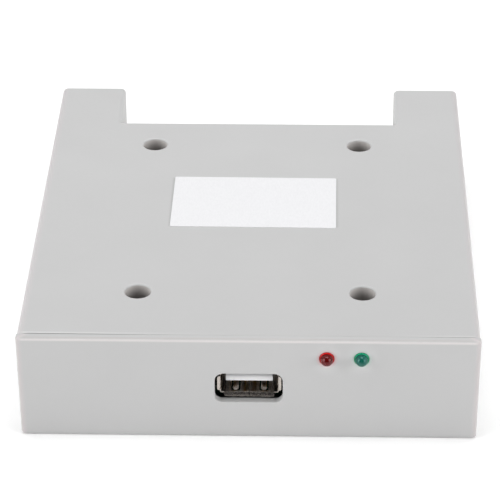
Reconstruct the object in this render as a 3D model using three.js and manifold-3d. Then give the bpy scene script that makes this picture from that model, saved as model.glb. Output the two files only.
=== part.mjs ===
// A floppy drive emulator in the plastic case of a 3.5-inch drive, one inch high. Millimetres.
// +X is to the right seen from the front, +Y runs to the rear and +Z is up. The origin is on the surface
// that the case lies on, under the middle of the whole object.
// The pieces are drawn from the bezel's front face, where y is 0, and the last group moves them together.

import * as THREE from 'three';
import { mergeVertices } from 'three/addons/utils/BufferGeometryUtils.js';
import Module from 'manifold-3d';

const solids = await Module();
solids.setup();

// Case: width over the bezel, length from the bezel's face to the arm tips
const caseWidth = 101.6;
const caseHeight = 25.4;
const caseLength = 121;
const wallThickness = 2;
const roofThickness = 2;
const floorThickness = 2;
const shellSetIn = 0.15;
const seamGap = 0.1;
const notchWidth = 69;
const notchLength = 19.25;
const lidEdgeRadius = 1;
const trayEdgeRadius = 0.8;
const armCornerExtra = 0.3;

// Joint between the lid and the tray: the tray's lip stands inside the lid's thinned rim
const partingHeight = 8;
const lapHeight = 2;
const lapClearance = 0.15;
const lapShare = 0.5;

// Bezel
const bezelDepth = 1.8;
const bezelDraft = 0.25;
const bezelCornerRadius = 1;
const bezelEdgeRadius = 0.6;
const tabLength = 4;
const tabWidth = 8;
const tabThickness = 1.2;
const tabGap = 0.25;
const tabPlaceShare = 0.76;
const clipLength = 8;
const clipWidth = 7;
const clipThickness = 1.2;
const clipGap = 0.3;
const barbHeight = 1;
const barbLength = 2.4;
const barbLead = 1.4;
const barbClearance = 0.3;

// Case screws and the wells that hold them
const frontWellDistance = 20.1;
const rearWellSetback = 11.65;
const wellSpacing = 50.4;
const headRadius = 2.5;
const headHeight = 2.1;
const headClearance = 0.4;
const headSideShare = 0.5;
const headShoulderShares = [0.8, 0.85];
const headCrownShare = 0.4;
const postWall = 1.4;
const wellFloor = 1.6;
const shankRadius = 1.45;
const screwLength = 8.5;
const screwPointLength = 1.5;
const screwPassClearance = 0.25;
const threadClearance = 0.15;
const tipClearance = 0.5;
const recessWidth = 0.9;
const recessSpan = 2.8;
const recessDepth = 1.2;

// Tray bosses and side mounting blocks
const bossHeight = 6.64;
const bossWall = 1.9;
const sideHoleHeight = 5;
const sideHoleRadius = 1.3;
const sideHoleDepth = 5.2;
const frontSideHole = 22.8;
const sideHoleSpacing = 70;
const mountBlockDepth = 4;
const mountBlockWidth = 7;
const mountBlockMargin = 1.6;

// Board
const boardWidth = 82;
const boardThickness = 1.6;
const boardFrontGap = 2.3;
const boardRearGap = 0.5;

// USB-A socket: sizes over the metal shell, and its white insulator
const portOffset = 0.2;
const shellWidth = 13.1;
const shellHeight = 5.72;
const shellDepth = 14;
const shellWall = 0.3;
const shellSetback = 1.8;
const lipLength = 0.8;
const lipFlare = 0.65;
const lipWideCorner = 1;
const lipTallCorner = 0.91;
const cutoutSideClearance = 0.4;
const cutoutEndClearance = 0.3;
const cutoutCornerRadius = 1.6;
const fingerSpacing = 6;
const fingerWidth = 1.3;
const fingerSlotGap = 0.35;
const fingerThickness = 0.25;
const fingerLength = 7.6;
const fingerRise = 0.75;
const fingerNose = 1.2;
const legWidth = 2.2;
const legTail = 1.4;
const legSlotClearance = 0.3;
const legPlaceShare = 0.55;
const tongueSideGap = 0.7;
const tongueTopGap = 0.665;
const tongueThickness = 1.84;
const tongueRecess = 0.9;
const insulatorDepth = 3;
const insulatorClearance = 0.1;
const contactWidth = 1;
const contactThickness = 0.25;
const contactInnerPitch = 2;
const contactOuterPitch = 7;
const contactSetback = 0.7;
const contactTailGap = 0.5;
const contactClearance = 0.1;

// LEDs
const ledRadius = 1.5;
const ledStandOut = 0.45;
const ledFromTop = 4.7;
const ledFirstPlace = 17.2;
const ledPitch = 7.6;
const ledHoleClearance = 0.2;
const ledFlangeExtra = 0.4;
const ledFlangeThickness = 1;
const ledFlangeGap = 0.55;
const leadSize = 0.5;
const leadPitch = 2.54;
const leadSetback = 2.3;
const leadTail = 1;
const leadHoleClearance = 0.2;

// Label
const labelWidth = 38.9;
const labelLength = 24;
const labelThickness = 0.12;
const labelDistance = 49.1;
const labelCornerRadius = 0.4;

// Rear connectors
const pinPitch = 2.54;
const pinSize = 0.64;
const pinReach = 6.2;
const headerDepth = 2.54;
const headerRecess = 0.75;
const dataColumns = 17;
const jumperColumns = 3;
const headerRows = 2;
const connectorGap = 1.5;
const windowClearance = 0.4;
const powerPinCount = 4;
const powerPitch = 2.5;
const powerSideWall = 0.9;
const powerHeight = 7;
const powerBackThickness = 2;
const powerShelfThickness = 1.2;
const powerShelfReach = 4.6;
const powerPinHeight = 4;
const powerPinClearance = 0.05;
const capLength = 6;
const capSideClearance = 0.14;
const capSeatGap = 0.3;
const capBoreClearance = 0.13;
const cappedColumns = [0, 2];

// Chips and small parts on the board
const chipLeadThickness = 0.2;
const chipLeadReach = 1;
const chipLeadEmbed = 0.3;
const microcontrollerSide = 7;
const microcontrollerHeight = 1.4;
const microcontrollerPitch = 0.8;
const microcontrollerLeadWidth = 0.35;
const microcontrollerLeads = 8;
const bufferLength = 8.65;
const smallChipLength = 4.9;
const smallChipWidth = 3.9;
const smallChipHeight = 1.5;
const smallChipPitch = 1.27;
const smallChipLeadWidth = 0.42;
const bufferLeads = 7;
const flashLeads = 4;
const crystalLength = 11;
const crystalWidth = 4.6;
const crystalHeight = 3.6;
const crystalFlange = 0.4;
const crystalFlangeHeight = 0.5;
const regulatorLength = 6.5;
const regulatorWidth = 3.5;
const regulatorHeight = 1.6;
const regulatorTabWidth = 3;
const regulatorLeadWidth = 0.7;
const regulatorLeadPitch = 2.3;
const regulatorLeads = 3;
const capacitorRadius = 3.15;
const capacitorHeight = 5.8;
const capacitorBaseHeight = 1;
const capacitorEdge = 0.3;
const programmingPins = 4;
const programmingPinTop = 6;

// Places of the small parts, as shares of the board's half width and of its length from the front edge
const placeShares = {
  microcontroller: [0.05, 0.48],
  flash_chip: [-0.5, 0.5],
  buffer_chip_1: [-0.2, 0.8],
  buffer_chip_2: [0.2, 0.8],
  crystal: [0.45, 0.48],
  voltage_regulator: [-0.5, 0.3],
  filter_capacitor_1: [-0.78, 0.34],
  filter_capacitor_2: [-0.78, 0.46],
  programming_header: [0.8, 0.48],
};

const overrun = 1;
const roundSides = 24;
const smallRoundSides = 16;
const arcSteps = 2;
const edgeSteps = 2;
const domeSteps = 4;

// Places worked out from the sizes above
const halfWidth = caseWidth / 2;
const shellHalf = halfWidth - shellSetIn;
const sideInner = shellHalf - wallThickness;
const roofUnder = caseHeight - roofThickness;
const shellFront = bezelDepth + seamGap;
const notchEdge = caseLength - notchLength;
const lapInset = wallThickness * lapShare;
const lapTop = partingHeight + lapHeight;
const boardUnder = floorThickness + bossHeight;
const boardTop = boardUnder + boardThickness;
const boardFront = shellFront + boardFrontGap;
const boardRear = notchEdge - wallThickness - boardRearGap;
const boardLength = boardRear - boardFront;
const wellRadius = headRadius + headClearance;
const postRadius = wellRadius + postWall;
const wellBottom = boardTop + wellFloor;
const screwPassRadius = shankRadius + screwPassClearance;
const pilotRadius = shankRadius + threadClearance;
const bossRadius = pilotRadius + bossWall;
const screwTip = wellBottom - screwLength;
const wells = [
  { name: 'front_left', x: -wellSpacing / 2, y: frontWellDistance },
  { name: 'front_right', x: wellSpacing / 2, y: frontWellDistance },
  { name: 'rear_left', x: -wellSpacing / 2, y: notchEdge - rearWellSetback },
  { name: 'rear_right', x: wellSpacing / 2, y: notchEdge - rearWellSetback },
];
const portHeight = boardTop + shellHeight / 2;
const lipEnd = shellSetback + lipLength;
const shellRear = lipEnd + shellDepth - lipLength;
const tongueWidth = shellWidth - 2 * (shellWall + tongueSideGap);
const tongueTop = shellHeight / 2 - shellWall - tongueTopGap;
const tongueBottom = tongueTop - tongueThickness;
const tongueMiddle = (tongueTop + tongueBottom) / 2;
const ledHeight = caseHeight - ledFromTop;
const ledRear = bezelDepth + ledFlangeGap + ledFlangeThickness;
const leadBend = boardFront + leadSetback;
const ledPlaces = [ledFirstPlace, ledFirstPlace + ledPitch];
const contactSpans = [-contactOuterPitch, -contactInnerPitch, contactInnerPitch, contactOuterPitch];
const contactPlaces = contactSpans.map((span) => span / 2);
const headerRear = notchEdge - headerRecess;
const dataLength = dataColumns * pinPitch;
const jumperLength = jumperColumns * pinPitch;
const powerWidth = powerPinCount * powerPitch + 2 * powerSideWall;
const connectorSpan = jumperLength + dataLength + powerWidth + 2 * connectorGap;
const jumperStart = -connectorSpan / 2;
const dataStart = jumperStart + jumperLength + connectorGap;
const powerStart = dataStart + dataLength + connectorGap;
const windowTop = boardTop + powerHeight + windowClearance;
const windowRear = headerRear + Math.max(pinReach, powerShelfReach) + windowClearance;

// Turns a three.js geometry into a solid, without the triangles that the merged points close up.
function toSolid(geometry) {
  const bare = geometry.clone();
  bare.deleteAttribute('normal');
  bare.deleteAttribute('uv');
  const merged = mergeVertices(bare);
  const index = merged.index.array;
  const triangles = [];
  for (let i = 0; i < index.length; i += 3) {
    const [a, b, c] = [index[i], index[i + 1], index[i + 2]];
    if (a !== b && b !== c && c !== a) {
      triangles.push(a, b, c);
    }
  }
  return new solids.Manifold(new solids.Mesh({
    numProp: 3,
    vertProperties: new Float32Array(merged.attributes.position.array),
    triVerts: new Uint32Array(triangles),
  }));
}

function toGeometry(solid) {
  const mesh = solid.getMesh();
  const geometry = new THREE.BufferGeometry();
  geometry.setAttribute('position', new THREE.BufferAttribute(new Float32Array(mesh.vertProperties), 3));
  geometry.setIndex(new THREE.BufferAttribute(new Uint32Array(mesh.triVerts), 1));
  return geometry;
}

function join(first, ...others) {
  return others.reduce((whole, piece) => whole.add(piece), first);
}

function cut(first, ...others) {
  return others.reduce((whole, piece) => whole.subtract(piece), first);
}

function block(x0, x1, y0, y1, z0, z1) {
  const geometry = new THREE.BoxGeometry(x1 - x0, y1 - y0, z1 - z0);
  return toSolid(geometry.translate((x0 + x1) / 2, (y0 + y1) / 2, (z0 + z1) / 2));
}

// A prism from an outline in X and Y, from one height to another.
function prismUp(outline, low, high) {
  const options = { depth: high - low, bevelEnabled: false, curveSegments: arcSteps };
  return toSolid(new THREE.ExtrudeGeometry(outline, options).translate(0, 0, low));
}

// A prism from an outline in X and Z, from front to rear.
function prismBack(outline, front, rear) {
  const options = { depth: rear - front, bevelEnabled: false, curveSegments: arcSteps };
  const geometry = new THREE.ExtrudeGeometry(outline, options);
  return toSolid(geometry.rotateX(Math.PI / 2).translate(0, rear, 0));
}

// A prism from an outline in Y and Z, from left to right.
function prismAcross(outline, left, right) {
  const options = { depth: right - left, bevelEnabled: false, curveSegments: arcSteps };
  const geometry = new THREE.ExtrudeGeometry(outline, options);
  const turn = new THREE.Matrix4().set(0, 0, 1, left, 1, 0, 0, 0, 0, 1, 0, 0, 0, 0, 0, 1);
  return toSolid(geometry.applyMatrix4(turn));
}

function cylinderUp(radius, x, y, low, high, sides = roundSides) {
  const geometry = new THREE.CylinderGeometry(radius, radius, high - low, sides);
  return toSolid(geometry.rotateX(Math.PI / 2).translate(x, y, (low + high) / 2));
}

function cylinderBack(radius, x, z, front, rear, sides = roundSides) {
  const geometry = new THREE.CylinderGeometry(radius, radius, rear - front, sides);
  return toSolid(geometry.translate(x, (front + rear) / 2, z));
}

function cylinderAcross(radius, y, z, left, right, sides = smallRoundSides) {
  const geometry = new THREE.CylinderGeometry(radius, radius, right - left, sides);
  return toSolid(geometry.rotateZ(Math.PI / 2).translate((left + right) / 2, y, z));
}

// An outline of straight sides. Each corner is [x, y, radius], counter-clockwise: a radius of 0 is sharp.
function roundedOutline(corners) {
  const shape = new THREE.Shape();
  corners.forEach(([x, y, radius], i) => {
    const corner = new THREE.Vector2(x, y);
    if (radius === 0) {
      i === 0 ? shape.moveTo(x, y) : shape.lineTo(x, y);
      return;
    }
    const [beforeX, beforeY] = corners[(i + corners.length - 1) % corners.length];
    const [afterX, afterY] = corners[(i + 1) % corners.length];
    const back = new THREE.Vector2(beforeX, beforeY).sub(corner).normalize();
    const onward = new THREE.Vector2(afterX, afterY).sub(corner).normalize();
    const halfAngle = Math.acos(back.dot(onward)) / 2;
    const reach = radius / Math.tan(halfAngle);
    const start = corner.clone().addScaledVector(back, reach);
    const end = corner.clone().addScaledVector(onward, reach);
    const middle = back.clone().add(onward).normalize();
    const centre = corner.clone().addScaledVector(middle, radius / Math.sin(halfAngle));
    i === 0 ? shape.moveTo(start.x, start.y) : shape.lineTo(start.x, start.y);
    const startAngle = Math.atan2(start.y - centre.y, start.x - centre.x);
    const endAngle = Math.atan2(end.y - centre.y, end.x - centre.x);
    shape.absarc(centre.x, centre.y, radius, startAngle, endAngle, false);
  });
  shape.closePath();
  return shape;
}

function rectangle(x0, x1, y0, y1, radius = 0) {
  return roundedOutline([[x0, y0, radius], [x1, y0, radius], [x1, y1, radius], [x0, y1, radius]]);
}

function polygon(points) {
  return new THREE.Shape(points.map(([x, y]) => new THREE.Vector2(x, y)));
}

// Plan of the case behind the bezel, drawn in by an inset: a slab with two arms round the rear notch.
function caseOutline(inset, front, cornerRadius) {
  const side = shellHalf - inset;
  const tip = caseLength - inset;
  const armInside = notchWidth / 2 + inset;
  const edge = notchEdge - inset;
  return roundedOutline([
    [-side, front, 0],
    [side, front, 0],
    [side, tip, cornerRadius],
    [armInside, tip, cornerRadius],
    [armInside, edge, 0],
    [-armInside, edge, 0],
    [-armInside, tip, cornerRadius],
    [-side, tip, cornerRadius],
  ]);
}

function casePrism(inset, front, low, high) {
  return prismUp(caseOutline(inset, front, 0), low, high);
}

// The case's full plan with its upper and lower edges rounded, open to be trimmed at the front.
function roundedCasePrism(edgeRadius, low, high) {
  const outline = caseOutline(0, shellFront - 2 * edgeRadius, edgeRadius + armCornerExtra);
  const geometry = new THREE.ExtrudeGeometry(outline, {
    depth: high - low - 2 * edgeRadius,
    bevelThickness: edgeRadius,
    bevelSize: edgeRadius,
    bevelOffset: -edgeRadius,
    bevelSegments: edgeSteps,
    curveSegments: arcSteps,
  });
  return toSolid(geometry.translate(0, 0, low + edgeRadius));
}

// Everything in front of the seam behind the bezel, to trim the two case halves flat.
function beforeSeam() {
  return block(-caseWidth, caseWidth, -caseLength, shellFront, -caseHeight, 2 * caseHeight);
}

// The rear window, through which the connectors reach into the notch.
function rearWindow(low) {
  const half = connectorSpan / 2 + windowClearance;
  return block(-half, half, headerRear - headerDepth - overrun, windowRear, low, windowTop);
}

function topCover() {
  const whole = roundedCasePrism(lidEdgeRadius, partingHeight - 2 * lidEdgeRadius, caseHeight);
  const below = block(-caseWidth, caseWidth, -caseLength, 2 * caseLength, -caseHeight, partingHeight);
  const openFront = shellFront - overrun;
  const hollow = casePrism(wallThickness, openFront, partingHeight - overrun, roofUnder);
  const rim = casePrism(lapInset, openFront, partingHeight - overrun, lapTop + lapClearance);
  const shell = cut(whole, below, beforeSeam(), hollow, rim, rearWindow(partingHeight - overrun));
  const postTop = roofUnder + roofThickness / 2;
  const posts = wells.map(({ x, y }) => cylinderUp(postRadius, x, y, boardTop, postTop));
  const bores = wells.map(({ x, y }) => cylinderUp(wellRadius, x, y, wellBottom, caseHeight + overrun));
  const passes = wells.map(({ x, y }) => (
    cylinderUp(screwPassRadius, x, y, boardTop - overrun, wellBottom + overrun, smallRoundSides)
  ));
  return cut(join(shell, ...posts), ...bores, ...passes, ...[-1, 1].map(clipPocket));
}

// Height of the middle of the side clips, between the tray's lip and the roof.
function clipMiddle() {
  return (lapTop + roofUnder) / 2;
}

function clipPocket(side) {
  const start = bezelDepth + clipLength - barbLength - barbClearance;
  const end = bezelDepth + clipLength + barbClearance;
  const depth = barbHeight - clipGap + barbClearance;
  const edges = [side * (sideInner - overrun / 2), side * (sideInner + depth)].sort((a, b) => a - b);
  const half = clipWidth / 2 + barbClearance;
  return block(...edges, start, end, clipMiddle() - half, clipMiddle() + half);
}

function bottomTray() {
  const whole = roundedCasePrism(trayEdgeRadius, 0, partingHeight + 2 * trayEdgeRadius);
  const above = block(-caseWidth, caseWidth, -caseLength, 2 * caseLength, partingHeight, 2 * caseHeight);
  const openFront = shellFront - overrun;
  const shell = cut(whole, above);
  const lip = casePrism(lapInset + lapClearance, shellFront, partingHeight / 2, lapTop);
  const hollow = casePrism(wallThickness, openFront, floorThickness, lapTop + overrun);
  const body = cut(join(shell, lip), hollow, beforeSeam(), rearWindow(boardTop));
  const bosses = wells.map(({ x, y }) => cylinderUp(bossRadius, x, y, floorThickness / 2, boardUnder));
  const pilots = wells.map(({ x, y }) => (
    cylinderUp(pilotRadius, x, y, screwTip - tipClearance, boardUnder + overrun, smallRoundSides)
  ));
  const blocks = [];
  const holes = [];
  for (const side of [-1, 1]) {
    for (const y of [frontSideHole, frontSideHole + sideHoleSpacing]) {
      const edges = [side * (sideInner - mountBlockDepth), side * (sideInner + wallThickness / 2)];
      const reach = [side * (shellHalf - sideHoleDepth), side * (shellHalf + overrun)];
      edges.sort((a, b) => a - b);
      reach.sort((a, b) => a - b);
      const top = sideHoleHeight + sideHoleRadius + mountBlockMargin;
      const half = mountBlockWidth / 2;
      blocks.push(block(...edges, y - half, y + half, floorThickness / 2, top));
      holes.push(cylinderAcross(sideHoleRadius, y, sideHoleHeight, ...reach));
    }
  }
  return cut(join(body, ...bosses, ...blocks), ...pilots, ...holes);
}

function bezelOutline() {
  const foot = halfWidth - bezelDraft;
  return roundedOutline([
    [-foot, 0, bezelCornerRadius],
    [foot, 0, bezelCornerRadius],
    [halfWidth, caseHeight, bezelCornerRadius],
    [-halfWidth, caseHeight, bezelCornerRadius],
  ]);
}

function portCutout() {
  const halfX = shellWidth / 2 + lipFlare + cutoutSideClearance;
  const halfZ = shellHeight / 2 + lipFlare + cutoutEndClearance;
  const outline = rectangle(
    portOffset - halfX, portOffset + halfX, portHeight - halfZ, portHeight + halfZ, cutoutCornerRadius,
  );
  return prismBack(outline, -overrun, bezelDepth + overrun);
}

// A spring arm on the bezel's back, with a barb that catches in the lid's side wall.
function sideClip(side) {
  const start = bezelDepth / 2;
  const end = bezelDepth + clipLength;
  const outer = sideInner - clipGap;
  const inner = outer - clipThickness;
  const points = [
    [inner, start],
    [outer, start],
    [outer, end - barbLength],
    [outer + barbHeight, end - barbLength],
    [outer + barbHeight, end - barbLead],
    [outer, end],
    [inner, end],
  ];
  const outline = polygon(points.map(([x, y]) => [side * x, y]));
  return prismUp(outline, clipMiddle() - clipWidth / 2, clipMiddle() + clipWidth / 2);
}

function bezelTabs() {
  const middle = halfWidth * tabPlaceShare;
  const heights = [
    [floorThickness + tabGap, floorThickness + tabGap + tabThickness],
    [roofUnder - tabGap - tabThickness, roofUnder - tabGap],
  ];
  return [-middle, middle].flatMap((x) => heights.map(([low, high]) => (
    block(x - tabWidth / 2, x + tabWidth / 2, bezelDepth / 2, bezelDepth + tabLength, low, high)
  )));
}

function frontBezel() {
  const depth = bezelDepth + bezelEdgeRadius;
  const geometry = new THREE.ExtrudeGeometry(bezelOutline(), {
    depth: depth - bezelEdgeRadius,
    bevelThickness: bezelEdgeRadius,
    bevelSize: bezelEdgeRadius,
    bevelOffset: -bezelEdgeRadius,
    bevelSegments: edgeSteps,
    curveSegments: arcSteps,
  });
  const whole = toSolid(geometry.rotateX(Math.PI / 2).translate(0, depth, 0));
  const behind = block(-caseWidth, caseWidth, bezelDepth, caseLength, -caseHeight, 2 * caseHeight);
  const plate = cut(whole, behind);
  const ledHoles = ledPlaces.map((x) => (
    cylinderBack(ledRadius + ledHoleClearance, x, ledHeight, -overrun, bezelDepth + overrun)
  ));
  const body = join(plate, ...bezelTabs(), ...[-1, 1].map(sideClip));
  return cut(body, portCutout(), ...ledHoles);
}

// A pan-head screw with a cross recess, drawn with the underside of its head at 0.
function caseScrew() {
  const profile = [
    [0, -screwLength],
    [shankRadius, screwPointLength - screwLength],
    [shankRadius, 0],
    [headRadius, 0],
    [headRadius, headHeight * headSideShare],
    [headRadius * headShoulderShares[0], headHeight * headShoulderShares[1]],
    [headRadius * headCrownShare, headHeight],
    [0, headHeight],
  ].map(([r, z]) => new THREE.Vector2(r, z));
  const turned = toSolid(new THREE.LatheGeometry(profile, smallRoundSides).rotateX(Math.PI / 2));
  const half = recessSpan / 2;
  const thin = recessWidth / 2;
  const low = headHeight - recessDepth;
  const high = headHeight + overrun;
  return cut(turned, block(-half, half, -thin, thin, low, high), block(-thin, thin, -half, half, low, high));
}

function circuitBoard() {
  const half = boardWidth / 2;
  const plate = block(-half, half, boardFront, boardRear, boardUnder, boardTop);
  const through = [boardUnder - overrun, boardTop + overrun];
  const screwHoles = wells.map(({ x, y }) => cylinderUp(screwPassRadius, x, y, ...through, smallRoundSides));
  const leadHalf = leadSize / 2 + leadHoleClearance;
  const leadHoles = ledPlaces.flatMap((x) => [x - leadPitch / 2, x + leadPitch / 2].map((lead) => (
    block(lead - leadHalf, lead + leadHalf, leadBend - leadHalf, leadBend + leadHalf, ...through)
  )));
  const legY = lipEnd + shellDepth * legPlaceShare;
  const slotHalf = legWidth / 2 + legSlotClearance;
  const slots = [-1, 1].map((side) => {
    const middle = portOffset + side * (shellWidth - shellWall) / 2;
    const reach = shellWall / 2 + legSlotClearance;
    return block(middle - reach, middle + reach, legY - slotHalf, legY + slotHalf, ...through);
  });
  return cut(plate, ...screwHoles, ...leadHoles, ...slots);
}

// The four flared lips at the socket's mouth. Each is one bent strip, with open corners between them.
function shellLips() {
  const lapIn = shellWall;
  const profile = (reach) => [
    [lipEnd + lapIn, reach - shellWall],
    [lipEnd + lapIn, reach],
    [lipEnd, reach],
    [shellSetback, reach + lipFlare],
    [shellSetback, reach + lipFlare - shellWall],
    [lipEnd, reach - shellWall],
  ];
  const wide = shellWidth / 2 - lipWideCorner;
  const tall = shellHeight / 2 - lipTallCorner;
  const lips = [];
  for (const side of [-1, 1]) {
    const upright = profile(shellHeight / 2).map(([y, z]) => [y, side * z]);
    lips.push(prismAcross(polygon(upright), -wide, wide));
    const flat = profile(shellWidth / 2).map(([y, x]) => [side * x, y]);
    lips.push(prismUp(polygon(flat), -tall, tall));
  }
  return lips;
}

// A leaf spring in the socket's floor: it rises from its root at the rear and dips to its tip at the mouth.
function springFinger(x) {
  const floorMiddle = -(shellHeight - shellWall) / 2;
  const tip = lipEnd + fingerSlotGap;
  const root = tip + fingerLength;
  const top = floorMiddle + shellWall / 2 + fingerRise;
  const low = floorMiddle - fingerThickness / 2;
  const outline = polygon([
    [tip, low + fingerThickness],
    [tip, low],
    [tip + fingerNose, top - fingerThickness],
    [root, low],
    [root + fingerSlotGap, low],
    [root + fingerSlotGap, low + fingerThickness],
    [root, low + fingerThickness],
    [tip + fingerNose, top],
  ]);
  return prismAcross(outline, x - fingerWidth / 2, x + fingerWidth / 2);
}

// The socket's metal shell, drawn round the middle of its mouth.
function usbShell() {
  const halfX = shellWidth / 2;
  const halfZ = shellHeight / 2;
  const tube = block(-halfX, halfX, lipEnd, shellRear, -halfZ, halfZ);
  const inside = block(
    shellWall - halfX, halfX - shellWall, lipEnd - overrun, shellRear - shellWall,
    shellWall - halfZ, halfZ - shellWall,
  );
  const fingers = [-fingerSpacing / 2, fingerSpacing / 2];
  const slotHalf = fingerWidth / 2 + fingerSlotGap;
  const slots = fingers.map((x) => block(
    x - slotHalf, x + slotHalf, lipEnd + fingerSlotGap / 2, lipEnd + fingerSlotGap + fingerLength,
    -halfZ - overrun, shellWall - halfZ + overrun / 2,
  ));
  const tailWindow = block(
    -tongueWidth / 2 + contactThickness, tongueWidth / 2 - contactThickness,
    shellRear - shellWall - overrun / 2, shellRear + overrun,
    shellWall - halfZ, tongueMiddle,
  );
  const legY = lipEnd + shellDepth * legPlaceShare;
  const legs = [-1, 1].map((side) => {
    const middle = side * (shellWidth - shellWall) / 2;
    const low = -halfZ - boardThickness - legTail;
    return block(
      middle - shellWall / 2, middle + shellWall / 2, legY - legWidth / 2, legY + legWidth / 2,
      low, shellWall - halfZ,
    );
  });
  const body = cut(tube, inside, ...slots, tailWindow);
  return join(body, ...shellLips(), ...fingers.map(springFinger), ...legs);
}

// The socket's white body and tongue, with a channel for each contact.
function usbInsulator() {
  const halfX = shellWidth / 2 - shellWall - insulatorClearance;
  const halfZ = shellHeight / 2 - shellWall - insulatorClearance;
  const rear = shellRear - shellWall - insulatorClearance;
  const front = shellSetback + tongueRecess;
  const body = block(-halfX, halfX, rear - insulatorDepth, rear, -halfZ, halfZ);
  const tongue = block(
    -tongueWidth / 2, tongueWidth / 2, front, rear - insulatorDepth / 2,
    tongueBottom, tongueTop,
  );
  const half = contactWidth / 2 + contactClearance;
  const channels = contactPlaces.map((x) => block(
    x - half, x + half, rear - insulatorDepth - overrun, rear + overrun,
    tongueBottom - contactThickness - contactClearance, tongueBottom,
  ));
  return cut(join(body, tongue), ...channels);
}

// A contact strip under the tongue, bent down to the board behind the shell.
function usbContact() {
  const front = shellSetback + tongueRecess + contactSetback;
  const bend = shellRear + contactTailGap;
  const top = tongueBottom;
  const outline = polygon([
    [front, top],
    [front, top - contactThickness],
    [bend, top - contactThickness],
    [bend, -shellHeight / 2],
    [bend + contactThickness, -shellHeight / 2],
    [bend + contactThickness, top],
  ]);
  return prismAcross(outline, -contactWidth / 2, contactWidth / 2);
}

// A lens body on its own axis: the dome points to the front, and the flange is behind the bezel.
function ledBody() {
  const dome = Array.from({ length: domeSteps + 1 }, (_, i) => {
    const angle = (i / domeSteps) * (Math.PI / 2);
    return [ledRadius * Math.sin(angle), -ledStandOut - ledRadius * Math.cos(angle)];
  });
  const flangeFront = ledRear - ledFlangeThickness;
  const profile = [
    ...dome,
    [ledRadius, flangeFront],
    [ledRadius + ledFlangeExtra, flangeFront],
    [ledRadius + ledFlangeExtra, ledRear],
    [0, ledRear],
  ].map(([r, y]) => new THREE.Vector2(r, y));
  return toSolid(new THREE.LatheGeometry(profile, roundSides));
}

// A square lead: back from the lens body, then down through the board. Its heights are those of the case.
function ledLead() {
  const half = leadSize / 2;
  const tail = boardUnder - leadTail;
  const outline = polygon([
    [ledRear, ledHeight - half],
    [leadBend - half, ledHeight - half],
    [leadBend - half, tail],
    [leadBend + half, tail],
    [leadBend + half, ledHeight + half],
    [ledRear, ledHeight + half],
  ]);
  return prismAcross(outline, -half, half);
}

function topLabel() {
  const half = labelWidth / 2;
  const outline = rectangle(-half, half, labelDistance, labelDistance + labelLength, labelCornerRadius);
  return prismUp(outline, caseHeight, caseHeight + labelThickness);
}

// A two-row header whose pins point to the rear, each bent down to the board behind the base.
function angledHeader(columns) {
  const front = headerRear - headerDepth;
  const half = pinSize / 2;
  const pieces = [block(0, columns * pinPitch, front, headerRear, 0, headerRows * pinPitch)];
  for (let row = 0; row < headerRows; row += 1) {
    const height = (row + 0.5) * pinPitch;
    const bend = front - pinPitch * (row + 0.5);
    const outline = polygon([
      [headerRear + pinReach, height + half],
      [bend - half, height + half],
      [bend - half, 0],
      [bend + half, 0],
      [bend + half, height - half],
      [headerRear + pinReach, height - half],
    ]);
    for (let column = 0; column < columns; column += 1) {
      const middle = (column + 0.5) * pinPitch;
      pieces.push(prismAcross(outline, middle - half, middle + half));
    }
  }
  return join(...pieces);
}

// A cap that bridges the two pins of one column, drawn round the middle of the column.
function jumperCap() {
  const halfX = (pinPitch - capSideClearance) / 2;
  const halfZ = (headerRows * pinPitch - capSideClearance) / 2;
  const front = headerRear + capSeatGap;
  const body = block(-halfX, halfX, front, front + capLength, -halfZ, halfZ);
  const bore = pinSize / 2 + capBoreClearance;
  const bores = [-pinPitch / 2, pinPitch / 2].map((z) => (
    block(-bore, bore, front - overrun, front + capLength + overrun, z - bore, z + bore)
  ));
  return cut(body, ...bores);
}

// Distance of each power pin from the left side of its connector.
function powerPinPlaces() {
  return Array.from({ length: powerPinCount }, (_, i) => powerSideWall + (i + 0.5) * powerPitch);
}

function powerHeader() {
  const front = headerRear - powerBackThickness;
  const root = headerRear - overrun;
  const end = headerRear + powerShelfReach;
  const back = block(0, powerWidth, front, headerRear, 0, powerHeight);
  const shelf = block(0, powerWidth, root, end, 0, powerShelfThickness);
  const cheeks = [0, powerWidth - powerSideWall].map((x) => (
    block(x, x + powerSideWall, root, end, 0, powerPinHeight)
  ));
  const half = pinSize / 2 + powerPinClearance;
  const holes = powerPinPlaces().map((x) => block(
    x - half, x + half, front - overrun, headerRear + overrun, powerPinHeight - half, powerPinHeight + half,
  ));
  return cut(join(back, shelf, ...cheeks), ...holes);
}

function powerPin() {
  const half = pinSize / 2;
  const bend = headerRear - powerBackThickness - pinPitch / 2;
  const outline = polygon([
    [headerRear + powerShelfReach, powerPinHeight + half],
    [bend - half, powerPinHeight + half],
    [bend - half, 0],
    [bend + half, 0],
    [bend + half, powerPinHeight - half],
    [headerRear + powerShelfReach, powerPinHeight - half],
  ]);
  return prismAcross(outline, -half, half);
}

// A chip with flat leads along its two long sides, or along all four.
function leadedChip({ length, width, height, pitch, leadWidth, leads, allSides }) {
  const body = block(-length / 2, length / 2, -width / 2, width / 2, chipLeadThickness / 2, height);
  const pieces = [body];
  for (let i = 0; i < leads; i += 1) {
    const place = (i - (leads - 1) / 2) * pitch;
    const span = [place - leadWidth / 2, place + leadWidth / 2];
    for (const side of [-1, 1]) {
      const alongY = [side * (width / 2 - chipLeadEmbed), side * (width / 2 + chipLeadReach)];
      alongY.sort((a, b) => a - b);
      pieces.push(block(...span, ...alongY, 0, chipLeadThickness));
      if (allSides) {
        const alongX = [side * (length / 2 - chipLeadEmbed), side * (length / 2 + chipLeadReach)];
        alongX.sort((a, b) => a - b);
        pieces.push(block(...alongX, ...span, 0, chipLeadThickness));
      }
    }
  }
  return join(...pieces);
}

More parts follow.
